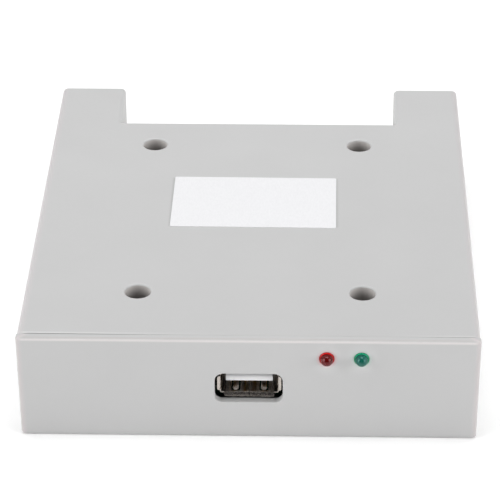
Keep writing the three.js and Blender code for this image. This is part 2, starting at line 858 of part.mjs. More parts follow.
function microcontroller() {
  return leadedChip({
    length: microcontrollerSide,
    width: microcontrollerSide,
    height: microcontrollerHeight,
    pitch: microcontrollerPitch,
    leadWidth: microcontrollerLeadWidth,
    leads: microcontrollerLeads,
    allSides: true,
  });
}

function smallChip(length, leads) {
  return leadedChip({
    length,
    width: smallChipWidth,
    height: smallChipHeight,
    pitch: smallChipPitch,
    leadWidth: smallChipLeadWidth,
    leads,
    allSides: false,
  });
}

// A metal can with round ends on a thin flange.
function crystal() {
  const can = (grow) => {
    const halfX = crystalLength / 2 + grow;
    const halfY = crystalWidth / 2 + grow;
    return rectangle(-halfX, halfX, -halfY, halfY, crystalWidth / 2);
  };
  return join(prismUp(can(0), 0, crystalHeight), prismUp(can(crystalFlange), 0, crystalFlangeHeight));
}

function voltageRegulator() {
  const body = block(
    -regulatorLength / 2, regulatorLength / 2, -regulatorWidth / 2, regulatorWidth / 2,
    chipLeadThickness / 2, regulatorHeight,
  );
  const side = regulatorWidth / 2;
  const tabHalf = regulatorTabWidth / 2;
  const tab = block(-tabHalf, tabHalf, side - chipLeadEmbed, side + chipLeadReach, 0, chipLeadThickness);
  const leads = Array.from({ length: regulatorLeads }, (_, i) => {
    const place = (i - (regulatorLeads - 1) / 2) * regulatorLeadPitch;
    const half = regulatorLeadWidth / 2;
    const toe = -side - chipLeadReach;
    return block(place - half, place + half, toe, chipLeadEmbed - side, 0, chipLeadThickness);
  });
  return join(body, tab, ...leads);
}

function filterCapacitor() {
  const base = block(
    -capacitorRadius, capacitorRadius, -capacitorRadius, capacitorRadius, 0, capacitorBaseHeight,
  );
  const can = [
    [0, capacitorBaseHeight / 2],
    [capacitorRadius, capacitorBaseHeight / 2],
    [capacitorRadius, capacitorHeight - capacitorEdge],
    [capacitorRadius - capacitorEdge, capacitorHeight],
    [0, capacitorHeight],
  ].map(([r, z]) => new THREE.Vector2(r, z));
  return join(base, toSolid(new THREE.LatheGeometry(can, smallRoundSides).rotateX(Math.PI / 2)));
}

function programmingHeader() {
  const half = pinSize / 2;
  const span = programmingPins * pinPitch;
  const pieces = [block(-pinPitch / 2, pinPitch / 2, -span / 2, span / 2, 0, pinPitch)];
  for (let i = 0; i < programmingPins; i += 1) {
    const y = (i + 0.5) * pinPitch - span / 2;
    pieces.push(block(-half, half, y - half, y + half, pinPitch / 2, programmingPinTop));
  }
  return join(...pieces);
}

// Finishes
const finishes = {
  casePlastic: { color: 0xc9c7c4, roughness: 0.55, metalness: 0 },
  paper: { color: 0xf4f4f2, roughness: 0.7, metalness: 0 },
  plating: { color: 0xb9b6b2, roughness: 0.28, metalness: 1 },
  gold: { color: 0xc9a558, roughness: 0.3, metalness: 1 },
  screwSteel: { color: 0x4a4a4d, roughness: 0.4, metalness: 0.9 },
  whitePlastic: { color: 0xf0f0ee, roughness: 0.5, metalness: 0 },
  blackPlastic: { color: 0x1c1c1e, roughness: 0.5, metalness: 0 },
  redLens: { color: 0x8e1016, roughness: 0.15, metalness: 0 },
  greenLens: { color: 0x118058, roughness: 0.15, metalness: 0 },
  boardGreen: { color: 0x1e5b34, roughness: 0.45, metalness: 0 },
  can: { color: 0xbfc0c2, roughness: 0.35, metalness: 0.9 },
};

const assembly = new THREE.Group();
assembly.position.y = -(caseLength - ledStandOut - ledRadius) / 2;

function add(name, solid, finish, x = 0, y = 0, z = 0) {
  const mesh = new THREE.Mesh(toGeometry(solid), new THREE.MeshStandardMaterial(finishes[finish]));
  mesh.name = name;
  mesh.position.set(x, y, z);
  mesh.geometry.computeVertexNormals();
  assembly.add(mesh);
}

function addSmallPart(name, solid, finish) {
  const [across, along] = placeShares[name];
  add(name, solid, finish, across * boardWidth / 2, boardFront + along * boardLength, boardTop);
}

add('top_cover', topCover(), 'casePlastic');
add('front_bezel', frontBezel(), 'casePlastic');
add('bottom_tray', bottomTray(), 'casePlastic');
add('top_label', topLabel(), 'paper');
add('circuit_board', circuitBoard(), 'boardGreen');

for (const { name, x, y } of wells) {
  add(`case_screw_${name}`, caseScrew(), 'screwSteel', x, y, wellBottom);
}

add('usb_shell', usbShell(), 'plating', portOffset, 0, portHeight);
add('usb_insulator', usbInsulator(), 'whitePlastic', portOffset, 0, portHeight);
contactPlaces.forEach((x, i) => {
  add(`usb_contact_${i + 1}`, usbContact(), 'gold', portOffset + x, 0, portHeight);
});

['red', 'green'].forEach((colour, i) => {
  add(`${colour}_led`, ledBody(), `${colour}Lens`, ledPlaces[i], 0, ledHeight);
  [-1, 1].forEach((side, j) => {
    add(`${colour}_led_lead_${j + 1}`, ledLead(), 'plating', ledPlaces[i] + side * leadPitch / 2);
  });
});

add('data_header', angledHeader(dataColumns), 'blackPlastic', dataStart, 0, boardTop);
add('jumper_header', angledHeader(jumperColumns), 'blackPlastic', jumperStart, 0, boardTop);
cappedColumns.forEach((column, i) => {
  const x = jumperStart + (column + 0.5) * pinPitch;
  add(`jumper_cap_${i + 1}`, jumperCap(), 'blackPlastic', x, 0, boardTop + headerRows * pinPitch / 2);
});
add('power_header', powerHeader(), 'whitePlastic', powerStart, 0, boardTop);
powerPinPlaces().forEach((x, i) => {
  add(`power_pin_${i + 1}`, powerPin(), 'plating', powerStart + x, 0, boardTop);
});

addSmallPart('microcontroller', microcontroller(), 'blackPlastic');
addSmallPart('flash_chip', smallChip(smallChipLength, flashLeads), 'blackPlastic');
addSmallPart('buffer_chip_1', smallChip(bufferLength, bufferLeads), 'blackPlastic');
addSmallPart('buffer_chip_2', smallChip(bufferLength, bufferLeads), 'blackPlastic');
addSmallPart('crystal', crystal(), 'can');
addSmallPart('voltage_regulator', voltageRegulator(), 'blackPlastic');
addSmallPart('filter_capacitor_1', filterCapacitor(), 'can');
addSmallPart('filter_capacitor_2', filterCapacitor(), 'can');
addSmallPart('programming_header', programmingHeader(), 'blackPlastic');

const part = new THREE.Group();
part.add(assembly);

export default part;
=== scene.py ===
from bisect import bisect
from contextlib import contextmanager
from functools import cached_property, partial
from math import atan2, cos, dist, hypot, isclose, pi, radians, sin, sqrt, tan, tau

import bmesh
import bpy
from mathutils import Matrix, Vector


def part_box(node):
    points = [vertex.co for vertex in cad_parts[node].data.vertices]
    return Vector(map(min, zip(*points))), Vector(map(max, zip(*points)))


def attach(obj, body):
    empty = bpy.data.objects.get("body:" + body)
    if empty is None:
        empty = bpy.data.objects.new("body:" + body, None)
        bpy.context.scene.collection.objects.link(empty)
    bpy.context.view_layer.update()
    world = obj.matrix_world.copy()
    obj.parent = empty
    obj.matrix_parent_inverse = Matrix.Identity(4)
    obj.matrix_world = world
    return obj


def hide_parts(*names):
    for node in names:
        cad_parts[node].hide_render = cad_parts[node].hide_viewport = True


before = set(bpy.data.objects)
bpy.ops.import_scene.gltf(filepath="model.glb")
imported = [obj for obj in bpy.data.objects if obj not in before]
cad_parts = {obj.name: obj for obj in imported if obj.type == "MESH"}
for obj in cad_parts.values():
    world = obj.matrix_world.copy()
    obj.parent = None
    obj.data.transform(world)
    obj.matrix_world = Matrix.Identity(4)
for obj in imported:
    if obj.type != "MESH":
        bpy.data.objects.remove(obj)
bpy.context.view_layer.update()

# Shapes are drawn in millimetres: x across, y back from the front panel's face, z up from the surface.
MM = 0.001
front_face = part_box("front_bezel")[0].y


def corners(node):
    """Lowest and highest corner of a CAD node in the drawing's millimetres."""
    shift = Vector((0, front_face, 0))
    return [(corner - shift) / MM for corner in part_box(node)]


def centre(node):
    return [(low + high) / 2 for low, high in zip(*corners(node))]


def half_sizes(node):
    return [(high - low) / 2 for low, high in zip(*corners(node))]


def around(middle, half):
    return middle - half, middle + half


bezel_high = corners("front_bezel")[1]
lid_low, lid_high = corners("top_cover")
tray_low = corners("bottom_tray")[0]
label_low, label_high = corners("top_label")
board_low, board_high = corners("circuit_board")
shell_low, shell_high = corners("usb_shell")
base_low, base_high = corners("usb_insulator")
data_high = corners("data_header")[1]
jumper_low = corners("jumper_header")[0]
power_low, power_high = corners("power_header")
led_colours = ["red", "green"]

# How far a cutting solid runs past a face, inside a part, and out through the case's front
overrun, short_overrun, front_reach = 1, 0.5, 3

# Case
wall, roof, floor_thick = 2, 2, 2
lap_inset, lap_height, lap_gap = 1, 2, 0.15
lid_edge, tray_edge, tip_extra, least_tip = 1, 0.8, 0.3, 0.05
notch_width, notch_corner, notch_recess = 69, 0.5, 0.75
window_margin, window_depth = 0.4, 4
mark_radius, mark_depth = 2.5, 0.08
mark_places = [(x, y) for x in (-38, 0, 38) for y in (14, 52, 90)]

# The seam between panel and lid. Each side says how far it opens and, from the middle out, where it starts
# to open, is open, starts to close and is closed
seam_gap, seam_closed, seam_edge, seam_edge_closed = 0.1, 0.02, 0.12, 0.25
seam_left, seam_right = 0.35, 0.16
seam_sides = [(-1, seam_left, (6, 46, 48.1, 49.4)), (1, seam_right, (30, 46, 49.1, 50.1))]
seam_steps, seam_ends = 20, (0.3, 0.7, 1.1, 1.5, 1.9)

# Front panel
bezel_edge, bezel_top_corner, bezel_low_corner, bezel_draft = 0.6, 0.5, 1, 0.25
panel_back_edge, least_corner = 0.05, 0.2
tab_half, tab_share, tab_length, tab_thick, tab_gap = 4, 0.76, 4, 1.2, 0.25
clip_gap, clip_thick, clip_half = 0.3, 1.2, 3.5
barb_height, barb_start, barb_slope = 1, 2.4, 1.4

# The port's opening, from the port's middle
cutout_left, cutout_right, cutout_low, cutout_high = -7.6, 7.4, -3.91, 3.5
cutout_top_corner, cutout_low_corner, cutout_rim = 2, 1.6, 0.15

label_turn, label_corner, label_edge = radians(-0.4), 0.4, 0.04

# Screws and their wells
head_radius, head_height, head_gap = 2.5, 2.1, 0.4
head_edge, head_side, head_flat = 0.1, 0.45, 0.42
well_rim, well_foot_edge, post_wall, post_foot = 0.5, 0.15, 1.4, 0.8
shank_radius, pass_gap, thread_gap, boss_wall, pilot_extra = 1.45, 0.25, 0.15, 1.9, 0.5
thread_pitch, thread_depth, thread_share, thread_rows, rows_left_out, extra_row = 1, 0.28, 0.32, 60, 3, 0.9
thread_start, thread_end, point_radius, point_height, neck_low, neck_high = 0.6, 0.5, 0.35, 0.3, 0.3, 0.02
# The recess's arms: half their length, half their width and their height, at the foot and above the head
recess_sizes = [(0.5, 0.22, -1.5), (1.45, 0.4, 0.3)]

# Side mounting holes and the blocks that carry them
mount_radius, mount_height, mount_depth, mount_sink = 1.3, 5, 5.2, 0.35
mount_places = (22.8, 92.8)
block_half, block_depth, block_cover = 3.5, 4, 1.6

# Port
metal, shell_gap, shell_corner, shell_inner = 0.3, 0.1, 0.5, 0.2
lip_length, lip_root, lip_corner, lip_steps, lip_step = 0.45, 0.4, 0.4, 9, 0.07
low_lip_flare, side_lip_flare, top_lip_flare = 0.83, 0.7, 0.65
low_lip_bow, side_lip_bow = 1.6, 2.2
lip_wide_corner, lip_tall_corner, side_lip_drop = 1, 1.08, 0.17
leg_offset, leg_share, leg_half = 0.8, 0.55, 1.1
finger_places, finger_offset, finger_step, least_half = (-3, 3.2), 1.15, 0.12, 0.08
finger_width, finger_slot, slot_corner, finger_length = 1.3, 0.35, 0.5, 7.6
finger_rise, finger_nose, finger_thick, finger_bend = 0.75, 1.2, 0.25, 1.6
tail_starts, tail_length, tail_depth, tail_flare = (3.6, 8), 1.2, 0.7, 0.3
joint_width, joint_rise, joint_end, window_inset = 0.07, 0.1, 1.5, 0.25
tongue_side_gap, tongue_top_gap, tongue_thick = 1.05, 0.72, 1.84
tongue_edge, tongue_end, base_depth = 0.12, 1.5, 3
channel_half, channel_depth = 0.6, 0.35
groove_half, groove_depth, groove_start, groove_end = 0.55, 0.1, 0.5, 2
contact_thick, contact_half, contact_bend, contact_run = 0.25, 0.5, 0.5, 3
# How far along and how high a contact's front end lies
contact_front = [(0, 0.04), (1.2, -0.14), (2.4, 0)]

# Lamps
led_radius, led_reach, led_hole_radius, led_hole_rim = 1.33, 0.6, 1.7, 0.08
led_flange, led_edge, rim_radius, rim_gap, rim_height = 1, 0.12, 1.67, 0.02, 0.1
# How far the collar is drawn in towards its front, and at what height
rim_edge = [(0, -0.02), (0.04, 0.05), (0.12, 0.09)]
cup_profile = [(0, -0.9), (0.5, -0.9), (0.62, -0.35), (0.5, -0.35), (0.3, -0.62), (0, -0.62)]
# The cup's post and the thin wire beside it: left, right, front and half height
lamp_bars, lamp_end = [(-0.75, -0.15, 0.8, 0.22), (0.75, 1.1, 0.35, 0.2)], 0.2

# Rear connectors
pitch, header_rows, header_notch, header_end, header_edge = 2.54, 2, 0.38, 0.6, 0.08
pin_half, pin_reach, pin_tip, pin_share, pin_bend, lead_bend = 0.32, 6.2, 0.4, 0.45, 0.7, 0.6
cap_edge, cap_bore_gap = 0.22, 0.13
cap_dent, cap_dent_front, cap_dent_rear, cap_dent_side = 0.12, 1.2, 1.6, 0.8
plug_depth, plug_root, plug_floor, plug_side, plug_edge = 2, 1, 1.2, 0.9, 0.15
plug_pin_height, plug_pin_tip, plug_bore = 4, 0.35, 0.37

# Places
case_top, parting, board_top = bezel_high.z, lid_low.z, board_high.z
shell_half, arm_tip = lid_high.x, lid_high.y
shell_front = lid_low.y
bezel_back = shell_front - seam_gap
header_face = data_high.y - pin_reach
notch_edge = header_face + notch_recess
well_radius = head_radius + head_gap
screws = []
for name in ("front_left", "front_right", "rear_left", "rear_right"):
    x, y, _ = centre(f"case_screw_{name}")
    low, high = corners(f"case_screw_{name}")
    screws.append((name, x, y, low.z, high.z))
screw_places = [(x, y) for _, x, y, _, _ in screws]
well_bottom = screws[0][4] - head_height
block_top = mount_height + mount_radius + block_cover
port_x, port_z = centre("usb_shell")[0], centre("usb_insulator")[2]
lip_end, finger_start = shell_low.y + lip_length, shell_low.y + finger_offset
base_half_x, _, base_half_z = half_sizes("usb_insulator")
shell_half_x, shell_half_z = base_half_x + metal + shell_gap, base_half_z + metal + shell_gap
tongue_half, tongue_top = shell_half_x - metal - tongue_side_gap, shell_half_z - metal - tongue_top_gap
tongue_bottom = tongue_top - tongue_thick
contact_places = [centre(f"usb_contact_{i}")[0] for i in range(1, 5)]


# Building solids

def placed(data, name="work"):
    obj = bpy.data.objects.new(name, data)
    bpy.context.scene.collection.objects.link(obj)
    return obj


@contextmanager
def editing(mesh):
    work = bmesh.new()
    work.from_mesh(mesh)
    yield work
    work.to_mesh(mesh)
    work.free()


def body(points, faces):
    """A loose working mesh with its faces turned outward."""
    mesh = bpy.data.meshes.new("work")
    mesh.from_pydata(points, [], faces)
    with editing(mesh) as work:
        bmesh.ops.recalc_face_normals(work, faces=work.faces)
    return placed(mesh)


def discard(obj):
    mesh = obj.data
    bpy.data.objects.remove(obj)
    bpy.data.meshes.remove(mesh)


def configured(thing, **settings):
    for key, value in settings.items():
        setattr(thing, key, value)
    return thing


def modified(obj, kind, **settings):
    """Replaces the object's mesh by what a modifier makes of it."""
    configured(obj.modifiers.new(kind, kind), **settings)
    graph = bpy.context.evaluated_depsgraph_get()
    old, obj.data = obj.data, bpy.data.meshes.new_from_object(obj.evaluated_get(graph))
    obj.modifiers.clear()
    bpy.data.meshes.remove(old)
    return obj


def combine(operation, base, *others):
    """Joins or cuts the base in place with each of the other solids, which are used up."""
    for other in others:
        modified(base, "BOOLEAN", operation=operation, solver="MANIFOLD", object=other)
        discard(other)
    return base


join = partial(combine, "UNION")
cut = partial(combine, "DIFFERENCE")


def gather(solids):
    """Puts separate solids into one mesh as they are."""
    mesh = bpy.data.meshes.new("work")
    with editing(mesh) as work:
        for solid in solids:
            work.from_mesh(solid.data)
            discard(solid)
    return placed(mesh)


def moved(obj, x=0, y=0, z=0):
    obj.data.transform(Matrix.Translation((x, y, z)))
    return obj


def turned(obj, angle, axis):
    obj.data.transform(Matrix.Rotation(angle, 4, axis))
    return obj


def facing(obj, x=0, z=0):
    """Turns a solid that is drawn upward to the front, and moves it to its place."""
    return moved(turned(obj, pi / 2, "X"), x, 0, z)


def bevelled(obj, width, segments=2, angle=40):
    return modified(obj, "BEVEL", width=width, segments=segments, limit_method="ANGLE",
                    angle_limit=radians(angle), miter_outer="MITER_SHARP")


def corner_arc(before, corner, after, radius, steps):
    """Points of a round corner between two straight runs."""
    here = Vector(corner)
    back, onward = (Vector(before) - here).normalized(), (Vector(after) - here).normalized()
    half_angle = back.angle(onward) / 2
    pivot = here + (back + onward).normalized() * (radius / sin(half_angle))
    start, end = (here + way * (radius / tan(half_angle)) - pivot for way in (back, onward))
    first = atan2(start.y, start.x)
    sweep = (atan2(end.y, end.x) - first + pi) % tau - pi
    turns = [first + sweep * i / steps for i in range(steps + 1)]
    return [(pivot.x + radius * cos(turn), pivot.y + radius * sin(turn)) for turn in turns]


def rounded(outline, steps=6):
    """Points of a closed outline of straight sides, whose corners are (u, v, radius)."""
    points = []
    for i, (u, v, radius) in enumerate(outline):
        before, after = outline[i - 1][:2], outline[(i + 1) % len(outline)][:2]
        points += corner_arc(before, (u, v), after, radius, steps) if radius > 0 else [(u, v)]
    return points


def bend(start, corner, end, radius, steps=6):
    """A path of two straight runs with a round bend at the corner."""
    return [start, *corner_arc(start, corner, end, radius, steps), end]


def box_outline(u0, u1, v0, v1, radius=0, steps=6):
    return rounded([(u0, v0, radius), (u1, v0, radius), (u1, v1, radius), (u0, v1, radius)], steps)


def quads(count, a, b):
    """Faces between two rings of points, which start at a and at b."""
    return [(a + i, a + (i + 1) % count, b + (i + 1) % count, b + i) for i in range(count)]


def loft(rings):
    """A closed solid through rings of as many points each."""
    count = len(rings[0])
    points = [point for ring in rings for point in ring]
    faces = [tuple(reversed(range(count))), tuple(range(len(points) - count, len(points)))]
    for k in range(len(rings) - 1):
        faces += quads(count, k * count, (k + 1) * count)
    return body(points, faces)


def prism(outline, start, end, axis="Z"):
    """A prism along an axis: the outline is in X and Y, or in X and Z."""
    return loft([[(u, w, v) if axis == "Y" else (u, v, w) for u, v in outline] for w in (start, end)])


def block(x0, x1, y0, y1, z0, z1):
    return prism([(x0, y0), (x1, y0), (x1, y1), (x0, y1)], z0, z1)


def turns(steps):
    return [tau * i / steps for i in range(steps)]


def quarter_turns(steps):
    return [pi / 2 * i / steps for i in range(steps + 1)]


def lathe(profile, steps=48):
    """A solid turned round Z. Its profile is (radius, height) and starts and ends on the axis."""
    points = [(0, 0, profile[0][1])]
    for radius, height in profile[1:-1]:
        points += [(radius * cos(turn), radius * sin(turn), height) for turn in turns(steps)]
    top, last = len(points), len(points) - steps
    points.append((0, 0, profile[-1][1]))
    faces = [(0, 1 + (i + 1) % steps, 1 + i) for i in range(steps)]
    for start in range(1, last, steps):
        faces += quads(steps, start, start + steps)
    faces += [(last + i, last + (i + 1) % steps, top) for i in range(steps)]
    return body(points, faces)


def tube_of(profile, steps=72):
    """A ring turned round Z from a closed profile of (radius, height)."""
    count = len(profile)
    points, faces = [], []
    for k, turn in enumerate(turns(steps)):
        points += [(radius * cos(turn), radius * sin(turn), height) for radius, height in profile]
        faces += quads(count, k * count, (k + 1) % steps * count)
    return body(points, faces)


def cylinder(radius, x, y, low, high, steps=48):
    return moved(lathe([(0, low), (radius, low), (radius, high), (0, high)], steps), x, y)


def quarter(radius, steps=6):
    """Pairs of depth and inset along a rounded edge, from its face to its full width."""
    return [(radius * (1 - cos(turn)), radius * (1 - sin(turn))) for turn in quarter_turns(steps)]


def inset_at(radius, depth):
    """How far a rounded edge is drawn in at a depth below its face."""
    if depth >= radius:
        return 0
    return radius - sqrt(radius ** 2 - (radius - depth) ** 2)


def smooth_step(low, high, value):
    share = min(1, max(0, (value - low) / (high - low)))
    return share * share * (3 - 2 * share)


def bar(path, halves):
    """A bent bar along a path in Y and Z. Each point has half its width along X and half its thickness."""
    rings = []
    for i, ((y, z), (half, thick)) in enumerate(zip(path, halves)):
        before, after = path[max(0, i - 1)], path[min(len(path) - 1, i + 1)]
        along = Vector((after[0] - before[0], after[1] - before[1])).normalized()
        low, high = (y + along.y * thick, z - along.x * thick), (y - along.y * thick, z + along.x * thick)
        rings.append([(-half, *low), (half, *low), (half, *high), (-half, *high)])
    return loft(rings)


def strip(path, half, thick):
    return bar(path, [(half, thick)] * len(path))


# Materials

grey = (0.545, 0.545, 0.545)
epoxy_index = 1.52
mask_green = (0.004, 0.035, 0.014)


def shade(color, factor):
    return tuple(min(1, factor * c) for c in color)


class Tree:
    """Writes nodes. Each of their inputs takes a value, or another node's output to be linked to."""

    def __init__(self, tree):
        self.tree = tree

    def feed(self, node, inputs):
        for key, value in inputs.items():
            if isinstance(value, bpy.types.NodeSocket):
                self.tree.links.new(value, node.inputs[key])
            else:
                node.inputs[key].default_value = value

    def node(self, kind, inputs, **settings):
        made = configured(self.tree.nodes.new(f"ShaderNode{kind}"), **settings)
        self.feed(made, inputs)
        return made

    def vector(self, operation, first, second, output="Vector"):
        return self.node("VectorMath", {0: first, 1: second}, operation=operation).outputs[output]

    def spread(self, value, low, high, start=0.3, end=0.7, ease="LINEAR"):
        """Maps a value from start..end to low..high."""
        limits = {"From Min": start, "From Max": end, "To Min": low, "To Max": high}
        return self.node("MapRange", {"Value": value, **limits}, interpolation_type=ease).outputs["Result"]


class Paint(Tree):
    """A node material."""

    def __init__(self, name, color, roughness, **values):
        self.material = bpy.data.materials.new(name)
        self.material.use_nodes = True
        super().__init__(self.material.node_tree)
        self.position = self.node("TexCoord", {}).outputs["Object"]
        self.set((*color, 1), roughness, **values)

    def set(self, color, roughness, **values):
        """Gives the surface its colour, its gloss and other inputs, and returns the material."""
        inputs = {key.replace("_", " "): value for key, value in values.items()}
        inputs |= {"Base Color": color, "Roughness": roughness}
        self.feed(self.tree.nodes["Principled BSDF"], inputs)
        return self.material

    def noise(self, scale, detail=3, stretch=(1, 1, 1)):
        """Noise in the object's own coordinates; the scale is per metre."""
        place = self.node("Mapping", {"Vector": self.position, "Scale": stretch}).outputs["Vector"]
        return self.node("TexNoise", {"Vector": place, "Scale": scale, "Detail": detail}).outputs["Fac"]

    def grain(self, scale, low=0, high=1, detail=3):
        return self.spread(self.noise(scale, detail), low, high)

    def mix(self, factor, first, second):
        """Mixes two colours; each is an RGB tuple or another node's output."""
        first, second = ((*value, 1) if isinstance(value, tuple) else value for value in (first, second))
        inputs = {"Factor": factor, "A": first, "B": second}
        return self.node("Mix", inputs, data_type="RGBA").outputs["Result"]

    def number(self, operation, first, second=0):
        return self.node("Math", {0: first, 1: second}, operation=operation).outputs[0]

    def product(self, first, second):
        return self.number("MULTIPLY", first, second)

    def scaled(self, color, factor):
        """A colour times a number."""
        return self.node("VectorMath", {0: color, "Scale": factor}, operation="SCALE").outputs["Vector"]

    @cached_property
    def place(self):
        """The place on the drawing in millimetres."""
        shifted = self.vector("SUBTRACT", self.position, (0, front_face, 0))
        return self.vector("MULTIPLY", shifted, (1 / MM, 1 / MM, 1 / MM))

    def along(self, direction):
        """How far a place lies along a direction."""
        return self.vector("DOT_PRODUCT", self.place, direction, "Value")

    def band(self, direction, middle, half, soft=None):
        """1 within a band across a direction, fading to 0 over its soft edge, or from its middle."""
        apart = self.number("ABSOLUTE", self.number("SUBTRACT", self.along(direction), middle))
        return self.spread(apart, 1, 0, half - (soft or half), half)

    def distance(self, x, z):
        """The distance in X and Z from a lamp."""
        flat = self.vector("MULTIPLY", self.place, (1, 0, 1))
        return self.vector("DISTANCE", flat, (x, 0, z), "Value")

    def relief(self, height, depth, strength):
        bump = self.node("Bump", {"Height": height, "Distance": depth * MM, "Strength": strength})
        return bump.outputs["Normal"]


def case_plastic(name, dress=None):
    """Light grey moulded plastic: a fine spark-eroded grain, with faint mottling of colour and gloss."""
    paint = Paint(name, grey, 0.5)
    finish = paint.mix(paint.grain(55, detail=4), shade(grey, 0.985), shade(grey, 1.01))
    if dress:
        finish = dress(paint, finish)
    relief = paint.relief(paint.noise(5200, detail=2), 0.012, 0.55)
    return paint.set(finish, paint.grain(900, 0.4, 0.5), Normal=relief)


def lid_tones(paint, finish):
    """Painted light and shade: a painted highlight along the lid's front edge behind the seam and along its
    sides, painted shadow lines beside the label, and painted shade deep in the wells with painted light
    near their rims. The lid is also painted darker towards the front and lighter towards the rear.
    """
    edge_half, edge_soft, side_inset, side_half = 0.45, 0.2, 0.4, 1.4
    label_shadow_gap, label_shadow_half, label_shadow_soft, inside_soft = 0.1, 0.55, 0.5, 1
    # Painted shade towards the front and painted light towards the rear of the lid, as light falls.
    finish = paint.scaled(finish, paint.spread(paint.along((-0.25, 1, 0)), 0.968, 1.027, 0, 90))
    # Painted highlight on the lid's front edge behind the seam, stronger where the gap opens.
    for side, opening, start, full, factor in ((-1, seam_left, 4, 44, 1.14), (1, seam_right, 30, 46, 1.07)):
        edge = paint.band((0, 1, 0), shell_front + opening + seam_edge, edge_half, edge_soft)
        near = paint.spread(paint.along((side, 0, 0)), 0, 1, start, full)
        finish = paint.mix(paint.product(edge, near), finish, shade(grey, factor))
    # Painted highlights along the lid's rounded side edges.
    for side, tone in ((-1, (0.589, 0.564, 0.57)), (1, (0.556, 0.537, 0.541))):
        finish = paint.mix(paint.band((side, 0, 0), shell_half - side_inset, side_half), finish, tone)
    # Painted shadow lines along the label's left and right edges.
    beside_label = paint.band((0, 1, 0), centre("top_label")[1], half_sizes("top_label")[1], label_shadow_soft)
    for x in (label_low.x - label_shadow_gap, label_high.x + label_shadow_gap):
        line = paint.product(paint.band((1, 0, 0), x, label_shadow_half), beside_label)
        finish = paint.mix(line, finish, shade(grey, 0.84))
    # Painted light and shade in the wells and inside the case: paler than the plastic near the top of a
    # bore, dark deep down.
    middle = (shell_front + notch_edge) / 2
    inside = paint.product(paint.band((1, 0, 0), 0, shell_half - wall, inside_soft),
                           paint.band((0, 1, 0), middle, notch_edge - middle - wall, inside_soft))
    below, deep = (paint.spread(paint.along((0, 0, 1)), 0, 1, case_top - start, case_top - end)
                   for start, end in ((0.25, 0.6), (0.7, 3.1)))
    bore = paint.mix(deep, (0.72, 0.69, 0.67), (0.345, 0.33, 0.32))
    return paint.mix(paint.product(inside, below), finish, bore)


def panel_tones(paint, finish):
    """Painted light and shade: a painted highlight along the top edge with painted shade just behind it,
    painted highlights along the side edges, painted shade towards the foot and the left end, and painted
    light round the lamps, coloured by their lenses.
    """
    side_inset, side_half, glow, glow_reach, painted_lamp_light_reach = 0.3, 1.15, 1.2, 5, 2.45
    height, across = paint.along((0, 0, 1)), paint.along((1, 0, 0))
    # Painted shade: darker towards the foot, a little darker overall and more so at the left end, and
    # darker again along the bottom edge.
    finish = paint.mix(paint.spread(height, 0, 1, 22, 3), finish, shade(grey, 0.965))
    finish = paint.scaled(finish, paint.spread(across, 0.977, 0.992, -46, -22))
    finish = paint.mix(paint.spread(height, 0, 1, 1.3, 0.3), finish, shade(grey, 0.9))
    # Painted shade just behind the panel's top edge, then a warm painted highlight along its rounding.
    for place, half, factor in ((0.35, 0.6, 0.87), (-0.38, 0.5, 1.33)):
        tone = tuple(factor * c * warmth for c, warmth in zip(grey, (1, 0.96, 0.95)))
        finish = paint.mix(paint.band((0, 1, 1), case_top + place, half), finish, tone)
    # Painted highlights along the panel's rounded side edges.
    slope = bezel_draft / case_top
    for side in (-1, 1):
        edge = paint.band((side, 1, -slope), bezel_high.x - bezel_draft - side_inset, side_half)
        finish = paint.mix(edge, finish, (0.598, 0.562, 0.562))
    # Painted light round each lamp: brighter near the lens to make up for its shadow, and coloured by light
    # from the lens.
    for colour, painted_lamp_light in (("red", (0.68, 0.5, 0.51)), ("green", (0.56, 0.66, 0.61))):
        x, _, z = centre(f"{colour}_led")
        lit, near = (paint.spread(paint.distance(x, z), 1, 0, rim_radius, reach)
                     for reach in (glow_reach, painted_lamp_light_reach))
        lit = paint.spread(paint.product(lit, lit), 1, glow, 0, 1)
        finish = paint.mix(near, paint.scaled(finish, lit), painted_lamp_light)
    return finish


def label_paper():
    paint = Paint("label paper", (0.79, 0.79, 0.80), 0.55)
    fibre = paint.noise(2600, detail=5, stretch=(1, 0.35, 1))
    finish = paint.mix(paint.spread(fibre, 0, 1), (0.785, 0.785, 0.8), (0.82, 0.82, 0.835))
    return paint.set(finish, paint.grain(500, 0.5, 0.62), Normal=paint.relief(fibre, 0.01, 0.4))


def plated(name, base, roughness, streak=(1, 1, 1), dull=0.12, relief=0.35):
    """Plated metal with fine streaks along one direction and small dull spots."""
    paint = Paint(name, base, roughness, Metallic=1)
    finish = paint.mix(paint.grain(420), base, shade(base, 0.86))
    streaks = paint.noise(1800, detail=4, stretch=streak)
    gloss = paint.spread(streaks, roughness, roughness + dull)
    return paint.set(finish, gloss, Normal=paint.relief(streaks, 0.004, relief))


def moulded(name, base, roughness, grain=3500, depth=0.008):
    """Plain moulded plastic with a fine grain."""
    paint = Paint(name, base, roughness)
    lighter = tuple(min(1, 1.08 * c + 0.003) for c in base)
    finish = paint.mix(paint.grain(160), base, lighter)
    gloss = paint.grain(700, roughness - 0.04, roughness + 0.08)
    return paint.set(finish, gloss, Normal=paint.relief(paint.noise(grain, detail=2), depth, 0.5))


